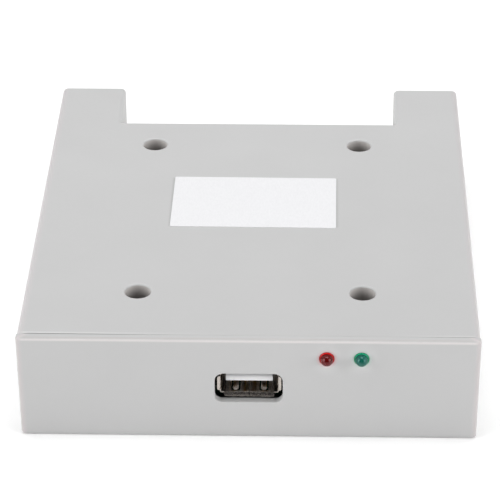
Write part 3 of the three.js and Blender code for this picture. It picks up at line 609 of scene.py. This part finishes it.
def tongue_plastic():
    """White moulding, painted greyer towards the top of the tongue as shade, and painted lit at its lower
    edge.
    """
    paint = Paint("tongue moulding", (0.83, 0.83, 0.83), 0.35)
    fleck = paint.grain(700)
    lit_white = paint.mix(fleck, (0.93, 0.93, 0.935), (0.97, 0.97, 0.975))
    # Painted shadow from the panel's opening darkens the tongue towards its top; its lower edge is painted
    # lit.
    height, high = paint.along((0, 0, 1)), port_z + tongue_top
    middle, dark_inset = high - tongue_thick / 2, 0.4
    lower = paint.spread(height, 0, 1, high - tongue_thick, middle)
    upper = paint.spread(height, 0, 1, middle, high - dark_inset)
    finish = paint.mix(upper, paint.mix(lower, lit_white, (0.78, 0.78, 0.785)), (0.42, 0.42, 0.43))
    return paint.set(finish, paint.grain(900, 0.3, 0.42), Normal=paint.relief(fleck, 0.006, 0.4))


def tinted_lens(name, base, deep, gloss):
    """Clear tinted epoxy, a little cloudy inside."""
    paint = Paint(name, base, 0.1)
    return paint.set(paint.mix(paint.grain(900, detail=2), deep, base), paint.grain(1500, 0.07, 0.14),
                     IOR=epoxy_index, Transmission_Weight=0.35, Specular_Tint=(*gloss, 1))


def lens_rim(colour, base):
    """The lens's edge against its hole: deep colour, with painted light making it brighter inside the top,
    where light comes through the epoxy.
    """
    paint = Paint(f"{colour} lens rim", base, 0.25)
    x, _, z = centre(f"{colour}_led")
    bright_low, bright_high, edge = 0.3, 1.1, 0.15
    # Painted light on the upper inner part of the rim; the rest keeps the deep, shaded colour.
    top = paint.spread(paint.along((0, 0, 1)), 0, 1, z + bright_low, z + bright_high)
    inside = paint.spread(paint.distance(x, z), 1, 0, rim_radius - edge, rim_radius)
    deep = paint.mix(paint.grain(900, detail=2), shade(base, 0.45), shade(base, 0.55))
    return paint.set(paint.mix(paint.product(top, inside), deep, base), paint.grain(1500, 0.22, 0.29),
                     IOR=epoxy_index, Transmission_Weight=0.05, Specular_IOR_Level=0.25)


def solder_mask():
    """Green board with copper tracks that show as lighter lines under the mask."""
    paint = Paint("solder mask", mask_green, 0.4)
    sizes = {"Scale": 1, "Mortar Size": 0.00012, "Brick Width": 0.0062, "Row Height": 0.0013}
    tracks = paint.node("TexBrick", {"Vector": paint.position, **sizes}).outputs["Fac"]
    finish = paint.mix(tracks, mask_green, (0.012, 0.08, 0.034))
    return paint.set(finish, paint.grain(600, 0.3, 0.42), Normal=paint.relief(tracks, 0.02, 0.5))


MATERIALS = {
    "lid": case_plastic("lid plastic", lid_tones),
    "panel": case_plastic("panel plastic", panel_tones),
    "tray": case_plastic("tray plastic"),
    "paper": label_paper(),
    "nickel": plated("nickel plate", (0.53, 0.485, 0.445), 0.2, streak=(1, 0.06, 1)),
    "tongue": tongue_plastic(),
    "insulator": moulded("white moulding", (0.83, 0.83, 0.82), 0.35),
    "gold": plated("gold plate", (0.8, 0.56, 0.25), 0.24, streak=(1, 0.1, 1), relief=0.08),
    "screw": plated("dark steel", (0.13, 0.13, 0.135), 0.32),
    "tin": plated("tinned wire", (0.68, 0.68, 0.66), 0.28, streak=(1, 0.1, 1), relief=0.12),
    "red": tinted_lens("red lens", (0.17, 0.005, 0.005), (0.11, 0.003, 0.003), (1, 0.6, 0.64)),
    "green": tinted_lens("green lens", (0.012, 0.175, 0.125), (0.008, 0.13, 0.09), (0.6, 0.95, 0.97)),
    "red_rim": lens_rim("red", (0.88, 0.014, 0.016)),
    "green_rim": lens_rim("green", (0.022, 0.5, 0.25)),
    "mask": solder_mask(),
    "epoxy": moulded("black epoxy", (0.012, 0.012, 0.013), 0.55, grain=2500, depth=0.02),
    "header": moulded("black moulding", (0.014, 0.014, 0.015), 0.42),
    "can": plated("drawn can", (0.72, 0.73, 0.74), 0.3, dull=0.2),
}


# Pieces

weld_distance, sliver_length = 0.0005, 0.0002


def dress(obj, material):
    obj.data.materials.clear()
    obj.data.materials.append(MATERIALS[material])


def piece(name, obj, material, nodes=(), rides="case", smooth=35):
    """Finishes a working solid: its place in the frame, shading, material, body and what it replaces."""
    obj.name = obj.data.name = name
    with editing(obj.data) as work:
        bmesh.ops.remove_doubles(work, verts=work.verts, dist=weld_distance)
        bmesh.ops.dissolve_degenerate(work, edges=work.edges, dist=sliver_length)
    obj.data.transform(Matrix.Translation((0, front_face, 0)) @ Matrix.Scale(MM, 4))
    obj.data.shade_smooth()
    obj.data.set_sharp_from_angle(angle=radians(smooth))
    configured(obj.modifiers.new("weighted normals", "WEIGHTED_NORMAL"), keep_sharp=True, weight=100)
    dress(obj, material)
    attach(obj, rides)
    if nodes:
        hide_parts(*nodes)


def seam_at(x):
    """Extra gap between panel and lid: it opens towards the ends, more on the left, and closes there."""
    gap = 0
    for side, opening, (start, full, closing, closed) in seam_sides:
        gap += opening * smooth_step(start, full, side * x) * (1 - smooth_step(closing, closed, side * x))
    return gap


def seam_line(x, inset):
    """Where the lid's front edge runs; its rounding is fuller where the gap is open."""
    open_share = min(1, seam_at(x) / seam_left + seam_edge_closed)
    return bezel_back + seam_closed + seam_at(x) + inset * open_share


def case_plan(side, front, tip_radius, bowed=False):
    """Plan of the case, its sides drawn in by side and its front edge by front."""
    half, tip = shell_half - side, arm_tip - side
    arm, edge = notch_width / 2 + side, notch_edge - side
    tips = max(least_tip, tip_radius - side)
    inner = notch_corner + side
    places = [-half, half]
    if bowed:
        places = [half * (i / seam_steps - 1) for i in range(2 * seam_steps + 1)]
        places += [end * (half - depth) for end in (-1, 1) for depth in seam_ends]
    front_edge = [(x, seam_line(x, front) if bowed else shell_front + front, 0) for x in sorted(places)]
    return rounded(front_edge + [
        (half, tip, tips), (arm, tip, tips), (arm, edge, inner),
        (-arm, edge, inner), (-arm, tip, tips), (-half, tip, tips),
    ])


def case_shell(low, high, low_edge, high_edge):
    """The case's plan from one height to another, with its lower and upper edges rounded."""
    depths = sorted({depth for radius in (high_edge, low_edge, seam_edge) for depth, _ in quarter(radius)})
    tip_radius = max(low_edge, high_edge) + tip_extra
    levels = [(low + d, inset_at(low_edge, d)) for d in depths if d <= low_edge]
    levels += [(high - d, inset_at(high_edge, d)) for d in reversed(depths) if d <= high_edge]
    rings = []
    for z, inset in levels:
        front = max(inset_at(seam_edge, z - low), inset_at(seam_edge, high - z))
        rings.append([(x, y, z) for x, y in case_plan(inset, front, tip_radius, bowed=True)])
    return loft(rings)


def plain_plan(inset, low, high, reach=0):
    return prism(case_plan(inset, -reach, tip_extra + inset), low, high)


def rear_window(low):
    half = (power_high.x - jumper_low.x) / 2 + window_margin
    return block(-half, half, header_face - window_depth, header_face + pin_reach + window_margin,
                 low, power_high.z + window_margin)


def flared(radius, low, high, edge, steps=64, edge_steps=6, foot=0):
    """A round bar that widens by a rounded edge as it reaches a height, and goes on above it."""
    profile = [(0, low), (radius, low)]
    if foot:
        profile = [(0, low), (radius - foot, low), (radius, low + foot)]
    profile += [(radius + inset, high - depth) for depth, inset in reversed(quarter(edge, edge_steps))]
    return lathe(profile + [(radius + edge, high + overrun), (0, high + overrun)], steps)


def top_cover():
    shell = case_shell(parting, case_top, seam_edge, lid_edge)
    below, under = parting - overrun, case_top - roof
    hollow = plain_plan(wall, below, under, front_reach)
    rim = plain_plan(lap_inset, below, parting + lap_height + lap_gap, front_reach)
    cut(shell, hollow, rim, rear_window(below))
    bore, low, high = shank_radius + pass_gap, board_top - overrun, well_bottom + overrun
    posts, wells, passes = [], [], []
    for x, y in screw_places:
        posts.append(moved(flared(well_radius + post_wall, board_top, under, post_foot), x, y))
        well = flared(well_radius, well_bottom, case_top, well_rim, steps=96, foot=well_foot_edge)
        wells.append(moved(well, x, y))
        passes.append(cylinder(bore, x, y, low, high, steps=32))
    piece("lid", cut(join(shell, *posts), *wells, *passes), "lid", ["top_cover"])


def bottom_tray():
    shell = case_shell(tray_low.z, parting, tray_edge, seam_edge)
    lip_top = parting + lap_height
    lip = plain_plan(lap_inset + lap_gap, parting / 2, lip_top)
    hollow = plain_plan(wall, floor_thick, lip_top + overrun, front_reach)
    shell = cut(join(shell, lip), hollow, rear_window(board_top))
    pilot, root = shank_radius + thread_gap, floor_thick / 2
    for _, x, y, low, _ in screws:
        join(shell, cylinder(pilot + boss_wall, x, y, root, board_low.z))
        cut(shell, cylinder(pilot, x, y, low - pilot_extra, board_low.z + overrun, steps=32))
    inner, wide = shell_half - wall, mount_radius + mount_sink
    hole = [(0, -mount_depth), (mount_radius, -mount_depth), (mount_radius, -mount_sink),
            (wide, 0), (wide, overrun), (0, overrun)]
    for side in (-1, 1):
        for y in mount_places:
            across = sorted((side * (inner - block_depth), side * (inner + wall / 2)))
            join(shell, block(*across, *around(y, block_half), root, block_top))
            tool = turned(lathe(hole, steps=40), side * pi / 2, "Y")
            cut(shell, moved(tool, side * shell_half, y, mount_height))
    for x, y in mark_places:
        cut(shell, cylinder(mark_radius, x, y, -overrun, mark_depth, steps=40))
    piece("tray", shell, "tray", ["bottom_tray"])


def upright(outline, y, steps):
    """A ring of an outline in X and Z whose corners are (x, z, radius)."""
    return [(x, y, z) for x, z in rounded(outline, steps)]


def front_panel():
    foot = bezel_high.x - bezel_draft

    def ring(inset, y):
        wide, narrow, top = bezel_high.x - inset, foot - inset, case_top - inset
        low_corner = max(least_corner, bezel_low_corner - inset)
        top_corner = max(least_corner, bezel_top_corner - inset)
        return upright([(-narrow, inset, low_corner), (narrow, inset, low_corner),
                        (wide, top, top_corner), (-wide, top, top_corner)], y, steps=8)

    rings = [ring(inset, depth) for depth, inset in quarter(bezel_edge, 8)]
    rings += [ring(inset, bezel_back - depth) for depth, inset in reversed(quarter(panel_back_edge, 3))]
    plate = loft(rings)
    tab_place, root = bezel_high.x * tab_share, bezel_back / 2
    for x in (-tab_place, tab_place):
        for low in (floor_thick + tab_gap, case_top - roof - tab_gap - tab_thick):
            join(plate, block(*around(x, tab_half), root, bezel_back + tab_length, low, low + tab_thick))
    join(plate, side_clip(-1), side_clip(1))
    cut(plate, cutout_tool(), *[led_hole_tool(colour) for colour in led_colours])
    piece("front_panel", plate, "panel", ["front_bezel"])


def side_clip(side):
    """A spring arm behind the panel, with a barb that catches in the lid's side wall."""
    outer, root, end = shell_half - wall - clip_gap, bezel_back / 2, bezel_high.y
    inner, barb = outer - clip_thick, outer + barb_height
    outline = [(inner, root), (outer, root), (outer, end - barb_start), (barb, end - barb_start),
               (barb, end - barb_slope), (outer, end), (inner, end)]
    level = (parting + lap_height + case_top - roof) / 2
    return prism([(side * x, y) for x, y in outline], *around(level, clip_half))


def cutout_tool():
    """The port's opening in the panel, with a softly rounded front rim."""
    def ring(grow, y):
        left, right = port_x + cutout_left - grow, port_x + cutout_right + grow
        low, low_corner = port_z + cutout_low - grow, cutout_low_corner + grow
        top, top_corner = port_z + cutout_high + grow, cutout_top_corner + grow
        return upright([(left, low, low_corner), (right, low, low_corner),
                        (right, top, top_corner), (left, top, top_corner)], y, steps=10)

    rim = [ring(grow, depth) for depth, grow in quarter(cutout_rim)]
    return loft([ring(cutout_rim, -overrun), *rim, ring(0, bezel_back + overrun)])


def led_hole_tool(colour):
    x, _, z = centre(f"{colour}_led")
    hole = flared(led_hole_radius, -bezel_back - overrun, 0, led_hole_rim, edge_steps=4)
    return facing(hole, x, z)


def tongue_strip(path, half, thickness, tip, step):
    """A strip of sheet metal along a path, at even steps, whose first end is rounded off."""
    lengths = [0]
    for a, b in zip(path, path[1:]):
        lengths.append(lengths[-1] + dist(a, b))
    count = max(2, round(lengths[-1] / step))
    middle, halves = [], []
    for i in range(count + 1):
        place = lengths[-1] * i / count
        k = min(bisect(lengths, place), len(path) - 1)
        share = (place - lengths[k - 1]) / (lengths[k] - lengths[k - 1])
        middle.append([a + (b - a) * share for a, b in zip(path[k - 1], path[k])])
        left = max(0, tip - place)
        halves.append((max(least_half, half - tip + sqrt(tip ** 2 - left ** 2)), thickness / 2))
    return bar(middle, halves)


def lip(reach, half, flare, bow):
    """A flared lip of the port's mouth, drawn under the middle of the mouth."""
    level = -(reach - metal / 2)
    shares = [1 - i / lip_steps for i in range(lip_steps + 1)]
    path = [(lip_end - lip_length * share, level - flare * share ** bow) for share in shares]
    return tongue_strip(path + [(lip_end + lip_root, level)], half, metal, lip_corner, lip_step)


def spring_finger(x):
    """A leaf spring in the port's floor: it rises from the rear and dips to a round tip at the mouth."""
    level, root = -(shell_half_z - metal / 2), finger_start + finger_length
    nose = (finger_start + finger_nose, level + metal / 2 + finger_rise - finger_thick / 2)
    path = bend((finger_start, level), nose, (root, level), finger_bend) + [(root + finger_slot, level)]
    return moved(tongue_strip(path, finger_width / 2, finger_thick, finger_width / 2, finger_step), x)


def joint_line(points, low, high):
    """Thin blocks along a line in X and Y, to cut a narrow seam."""
    made, half = [], joint_width / 2
    for (x0, y0), (x1, y1) in zip(points, points[1:]):
        line = block(-half, hypot(x1 - x0, y1 - y0) + half, -half, half, low, high)
        made.append(moved(turned(line, atan2(y1 - y0, x1 - x0), "Z"), x0, y0))
    return made


def usb_shell():
    half_x, half_z, rear = shell_half_x, shell_half_z, shell_high.y
    below, floor_top = -half_z - overrun, metal - half_z

    def tube(inset, radius, start, end):
        x, z = half_x - inset, half_z - inset
        return prism(box_outline(-x, x, -z, z, radius, steps=5), start, end, "Y")

    shell = cut(tube(0, shell_corner, lip_end, rear),
                tube(metal, shell_inner, lip_end - overrun, rear - metal))
    slot_half = finger_width / 2 + finger_slot
    for x in finger_places:
        outline = box_outline(*around(x, slot_half), finger_start - finger_slot / 2,
                              finger_start + finger_length, slot_corner)
        cut(shell, prism(outline, below, floor_top + short_overrun))
    window_half = tongue_half - window_inset
    cut(shell, block(-window_half, window_half, rear - metal - short_overrun, rear + overrun,
                     floor_top, tongue_top - tongue_thick / 2))
    wide, tall = half_x - lip_wide_corner, half_z - lip_tall_corner
    for k, flare in ((0, low_lip_flare), (2, top_lip_flare)):
        join(shell, turned(lip(half_z, wide, flare, low_lip_bow), k * pi / 2, "Y"))
    for k in (1, 3):
        side_lip = turned(lip(half_x, tall, side_lip_flare, side_lip_bow), k * pi / 2, "Y")
        join(shell, moved(side_lip, z=-side_lip_drop))
    join(shell, *[spring_finger(x) for x in finger_places])
    leg_y = shell_low.y + leg_offset + (rear - shell_low.y) * leg_share
    for side in (-1, 1):
        x = side * (half_x - metal / 2)
        join(shell, block(*around(x, metal / 2), *around(leg_y, leg_half), shell_low.z - port_z, floor_top))
    seam = [(0, shell_low.y - overrun)]
    for deep, start in zip((-tail_depth, tail_depth), tail_starts):
        end = start + tail_length
        seam += [(0, start), (deep, start - tail_flare), (deep, end + tail_flare), (0, end)]
    seam.append((0, rear - joint_end))
    cut(shell, *joint_line(seam, below, floor_top + joint_rise))
    piece("port_shell", moved(shell, port_x, 0, port_z), "nickel", ["usb_shell"])


def usb_insulator():
    rear, front = base_high.y, base_low.y
    tongue = block(-tongue_half, tongue_half, front, rear - tongue_end, tongue_bottom, tongue_top)
    base = block(-base_half_x, base_half_x, rear - base_depth, rear, -base_half_z, base_half_z)
    whole = join(base, bevelled(tongue, tongue_edge))
    for place in contact_places:
        x = place - port_x
        channel = block(*around(x, channel_half), rear - base_depth - overrun, rear + overrun,
                        tongue_bottom - channel_depth, tongue_bottom)
        groove = block(*around(x, groove_half), front + groove_start, rear - groove_end,
                       *around(tongue_bottom, groove_depth))
        cut(whole, channel, groove)
    piece("port_tongue", moved(whole, port_x, 0, port_z), "tongue", ["usb_insulator"])


def usb_contacts():
    half = contact_thick / 2
    for i, x in enumerate(contact_places, 1):
        low, high = corners(f"usb_contact_{i}")
        level, back = high.z - half, high.y - half
        path = [(low.y + along, level + rise) for along, rise in contact_front]
        path += bend((low.y + contact_run, level), (back, level), (back, low.z), contact_bend)
        contact = moved(strip(path, contact_half, half), x)
        piece(f"port_contact_{i}", contact, "gold", [f"usb_contact_{i}"])


def lamp(colour):
    x, _, z = centre(f"{colour}_led")
    flange, rear = half_sizes(f"{colour}_led")[0], corners(f"{colour}_led")[1].y
    back, front = -rear, led_flange - rear
    profile = [(0, back), (flange - led_edge, back), (flange, back + led_edge), (flange, front - led_edge),
               (flange - led_edge, front), (led_radius, front)]
    for turn in quarter_turns(20):
        profile.append((led_radius * cos(turn), led_reach + led_radius * sin(turn)))
    lens = facing(lathe(profile, steps=72), x, z)
    piece(f"{colour}_lens", lens, colour, [f"{colour}_led"], smooth=50)
    inner, behind = led_radius + rim_gap, front + rim_gap
    ring = [(inner, behind), (rim_radius, behind)]
    ring += [(rim_radius - inset, height) for inset, height in rim_edge] + [(inner, rim_height)]
    piece(f"{colour}_rim", facing(tube_of(ring), x, z), f"{colour}_rim", smooth=50)
    bars = [block(left, right, start, rear - lamp_end, -half, half)
            for left, right, start, half in lamp_bars]
    holder = gather([facing(lathe(cup_profile, steps=32)), *bars])
    piece(f"{colour}_lamp_frame", moved(holder, x, 0, z), "tin")
    for i in (1, 2):
        node = f"{colour}_led_lead_{i}"
        low, high = corners(node)
        half = half_sizes(node)[0]
        path = bend((low.y, z), (high.y - half, z), (high.y - half, low.z), lead_bend)
        lead = moved(strip(path, half, half), centre(node)[0])
        piece(f"{colour}_lead_{i}", lead, "tin", [node])


def label():
    (x, y, _), (half_x, half_y, _) = centre("top_label"), half_sizes("top_label")
    outline = box_outline(-half_x, half_x, -half_y, half_y, label_corner, steps=5)
    sheet = bevelled(prism(outline, case_top, label_high.z), label_edge)
    piece("label", moved(turned(sheet, label_turn, "Z"), x, y), "paper", ["top_label"])


def cross_recess():
    """The tapered cross of a screwdriver's recess."""
    rings = []
    for half_u, half_v, height in recess_sizes:
        outline = box_outline(-half_u, half_u, -half_v, half_v)
        rings.append([(u, v, head_height + height) for u, v in outline])
    return [turned(loft(rings), turn, "Z") for turn in (0, pi / 2)]


def screw(name, x, y, low, high):
    """A pan head screw, drawn from the face under its head, with a thread that winds round its root."""
    seat = high - head_height
    foot, root = low - seat, shank_radius - thread_depth
    span = -foot - thread_start
    heights = [span * (1 - i / thread_rows) for i in range(thread_rows - rows_left_out)] + [extra_row]
    profile = [(0, foot), (point_radius, foot + point_height)]
    profile += [(root, foot + height) for height in sorted(heights)]
    profile += [(root, -neck_low), (shank_radius, -neck_high)]
    profile += [(head_radius - head_edge, 0), (head_radius, head_edge)]
    for turn in quarter_turns(8):
        profile.append((head_radius * (head_flat + (1 - head_flat) * cos(turn)),
                        head_height * (head_side + (1 - head_side) * sin(turn))))
    threaded = lathe(profile + [(0, head_height)], steps=32)
    for vertex in threaded.data.vertices:
        place, radius = vertex.co.z, hypot(vertex.co.x, vertex.co.y)
        if isclose(radius, root, abs_tol=0.01) and place < -thread_end:
            phase = (place / thread_pitch - atan2(vertex.co.y, vertex.co.x) / tau) % 1
            grow = 1 + thread_depth / root * max(0, 1 - abs(phase - 0.5) / thread_share)
            vertex.co.x *= grow
            vertex.co.y *= grow
    made = cut(threaded, *cross_recess())
    piece(f"screw_{name}", moved(made, x, y, seat), "screw", [f"case_screw_{name}"])


def pin(tip, reach, level, back, foot, radius):
    """A square pin from its drawn-in tip at the rear, with a bend down to the board."""
    path = [(reach - tip, level)] + bend((header_face, level), (back, level), (back, foot), radius)
    halves = [pin_half * pin_share] + [pin_half] * len(path)
    return bar([(reach, level)] + path, [(half, half) for half in halves])


def header_base(columns):
    """A moulded strip drawn from its lower left corner, with notches between its columns."""
    width, height, notch = columns * pitch, header_rows * pitch, header_notch
    lower = [(0, notch), (notch, 0)]
    for i in range(1, columns):
        lower += [(i * pitch - notch, 0), (i * pitch, notch), (i * pitch + notch, 0)]
    lower += [(width - notch, 0), (width, notch)]
    level = height / 2
    right = [(width, level - notch), (width - notch * header_end, level), (width, level + notch)]
    half = lower + right
    return prism(half + [(width - x, height - z) for x, z in half], header_face - pitch, header_face, "Y")


def header(node, name, columns):
    low, high = corners(node)
    base = bevelled(moved(header_base(columns), low.x, 0, low.z), header_edge, angle=50)
    piece(f"{name}_base", base, "header", [node])
    pins = []
    for row in range(header_rows):
        level, back = low.z + (row + 0.5) * pitch, header_face - pitch * (row + 1.5)
        for column in range(columns):
            made = pin(pin_tip, high.y, level, back, low.z, pin_bend)
            pins.append(moved(made, low.x + (column + 0.5) * pitch))
    piece(f"{name}_pins", gather(pins), "gold")


def jumper_cap(i, rides):
    node = f"jumper_cap_{i}"
    low, high = corners(node)
    x, _, z = centre(node)
    cap = bevelled(block(low.x, high.x, low.y, high.y, low.z, high.z), cap_edge, segments=3)
    bore = pin_half + cap_bore_gap
    front, rear = low.y - overrun, high.y + overrun
    for level in around(z, pitch / 2):
        cut(cap, block(*around(x, bore), front, rear, *around(level, bore)))
    for side in (-1, 1):
        across = sorted(x + side * (high.x - x + depth) for depth in (-cap_dent, overrun))
        cut(cap, block(*across, low.y + cap_dent_front, high.y - cap_dent_rear,
                       low.z + cap_dent_side, high.z - cap_dent_side))
    piece(f"cap_{i}", cap, "header", [node], rides)


def power_connector():
    low, high = power_low, power_high
    level, root = low.z + plug_pin_height, header_face - plug_root
    whole = block(low.x, high.x, header_face - plug_depth, header_face, low.z, high.z)
    join(whole, block(low.x, high.x, root, high.y, low.z, low.z + plug_floor))
    for x in (low.x, high.x - plug_side):
        join(whole, block(x, x + plug_side, root, high.y, low.z, level))
    whole = bevelled(whole, plug_edge)
    nodes = [f"power_pin_{i}" for i in range(1, 5)]
    for node in nodes:
        x = centre(node)[0]
        cut(whole, block(*around(x, plug_bore), header_face - plug_depth - overrun,
                         header_face + overrun, *around(level, plug_bore)))
    piece("power_plug_base", whole, "insulator", ["power_header"])
    for i, node in enumerate(nodes, 1):
        low, high = corners(node)
        made = pin(plug_pin_tip, high.y, level, low.y + pin_half, low.z, lead_bend)
        piece(f"power_contact_{i}", moved(made, centre(node)[0]), "tin", [node])


# Stage

camera_place = (13.419, -469.227, 323.971)
camera_yaw, camera_pitch, camera_roll = -0.02736, 0.53131, -0.00541
focal_pixels, picture_pixels, sensor_width = 2558.9, 500, 36
floor_half, floor_white, floor_glow = 3, (0.95, 0.95, 0.95), 0.115
room_light, opening_light = 0.34, 0.04
opening_way, opening_edge, opening_full = (0, -0.862, 0.507), 0.45, 0.85
# Soft boxes: place, width, height and radiance
soft_boxes = {
    "left": ((-1.32, -0.62, 0.55), 1.12, 1.12, 3.55),
    "right": ((1.32, -0.62, 0.55), 1.12, 1.12, 3.3),
    "above": ((0, 0.08, 1.07), 0.9, 0.8, 3.35),
}


def camera():
    lens = focal_pixels / picture_pixels * sensor_width
    data = configured(bpy.data.cameras.new("camera"), sensor_width=sensor_width, lens=lens,
                      clip_start=0.01, clip_end=20)
    obj = placed(data, "camera")
    angles = ((-camera_yaw, "Z"), (pi / 2 - camera_pitch, "X"), (camera_roll, "Z"))
    yaw, pitch, roll = (Matrix.Rotation(angle, 4, axis) for angle, axis in angles)
    place = Vector(camera_place) * MM + Vector((0, front_face, 0))
    obj.matrix_world = Matrix.Translation(place) @ yaw @ pitch @ roll
    bpy.context.scene.camera = obj


def floor():
    mesh = bpy.data.meshes.new("floor")
    outline = box_outline(-floor_half, floor_half, -floor_half, floor_half)
    mesh.from_pydata([(x, y, 0) for x, y in outline], [], [(0, 1, 2, 3)])
    obj = placed(mesh, "floor")
    paint = Paint("floor", floor_white, 0.9, Specular_IOR_Level=0.1,
                  Emission_Color=(1, 1, 1, 1), Emission_Strength=floor_glow)
    mesh.materials.append(paint.material)


def lights():
    """A white room with a dim opening in front, a soft box at each side and one overhead."""
    world = bpy.data.worlds.new("studio")
    bpy.context.scene.world = world
    world.use_nodes = True
    tree = Tree(world.node_tree)
    direction = tree.node("TexCoord", {}).outputs["Generated"]
    towards = tree.vector("DOT_PRODUCT", direction, opening_way, "Value")
    light = tree.spread(towards, room_light, opening_light, opening_edge, opening_full, "SMOOTHSTEP")
    tree.feed(world.node_tree.nodes["Background"], {"Strength": light, "Color": (1, 1, 1, 1)})
    for name, (place, width, height, radiance) in soft_boxes.items():
        data = configured(bpy.data.lights.new(name, "AREA"), shape="RECTANGLE", size=width, size_y=height,
                          energy=radiance * pi * width * height)
        aim = (-Vector(place)).to_track_quat("-Z", "Y").to_euler()
        configured(placed(data, name), location=place, rotation_euler=aim)


top_cover()
bottom_tray()
front_panel()
label()
usb_shell()
usb_insulator()
usb_contacts()
for colour in led_colours:
    lamp(colour)
for fastener in screws:
    screw(*fastener)
header("data_header", "ribbon_header", 17)
header("jumper_header", "option_header", 3)
jumper_cap(1, "first_cap")
jumper_cap(2, "second_cap")
power_connector()

inner = {
    "mask": ["circuit_board"],
    "epoxy": ["microcontroller", "flash_chip", "buffer_chip_1", "buffer_chip_2", "voltage_regulator"],
    "can": ["crystal", "filter_capacitor_1", "filter_capacitor_2"],
    "header": ["programming_header"],
}
for material, nodes in inner.items():
    for node in nodes:
        dress(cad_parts[node], material)

camera()
floor()
lights()

configured(bpy.context.scene.view_settings, view_transform="Standard", look="None", exposure=0, gamma=1)
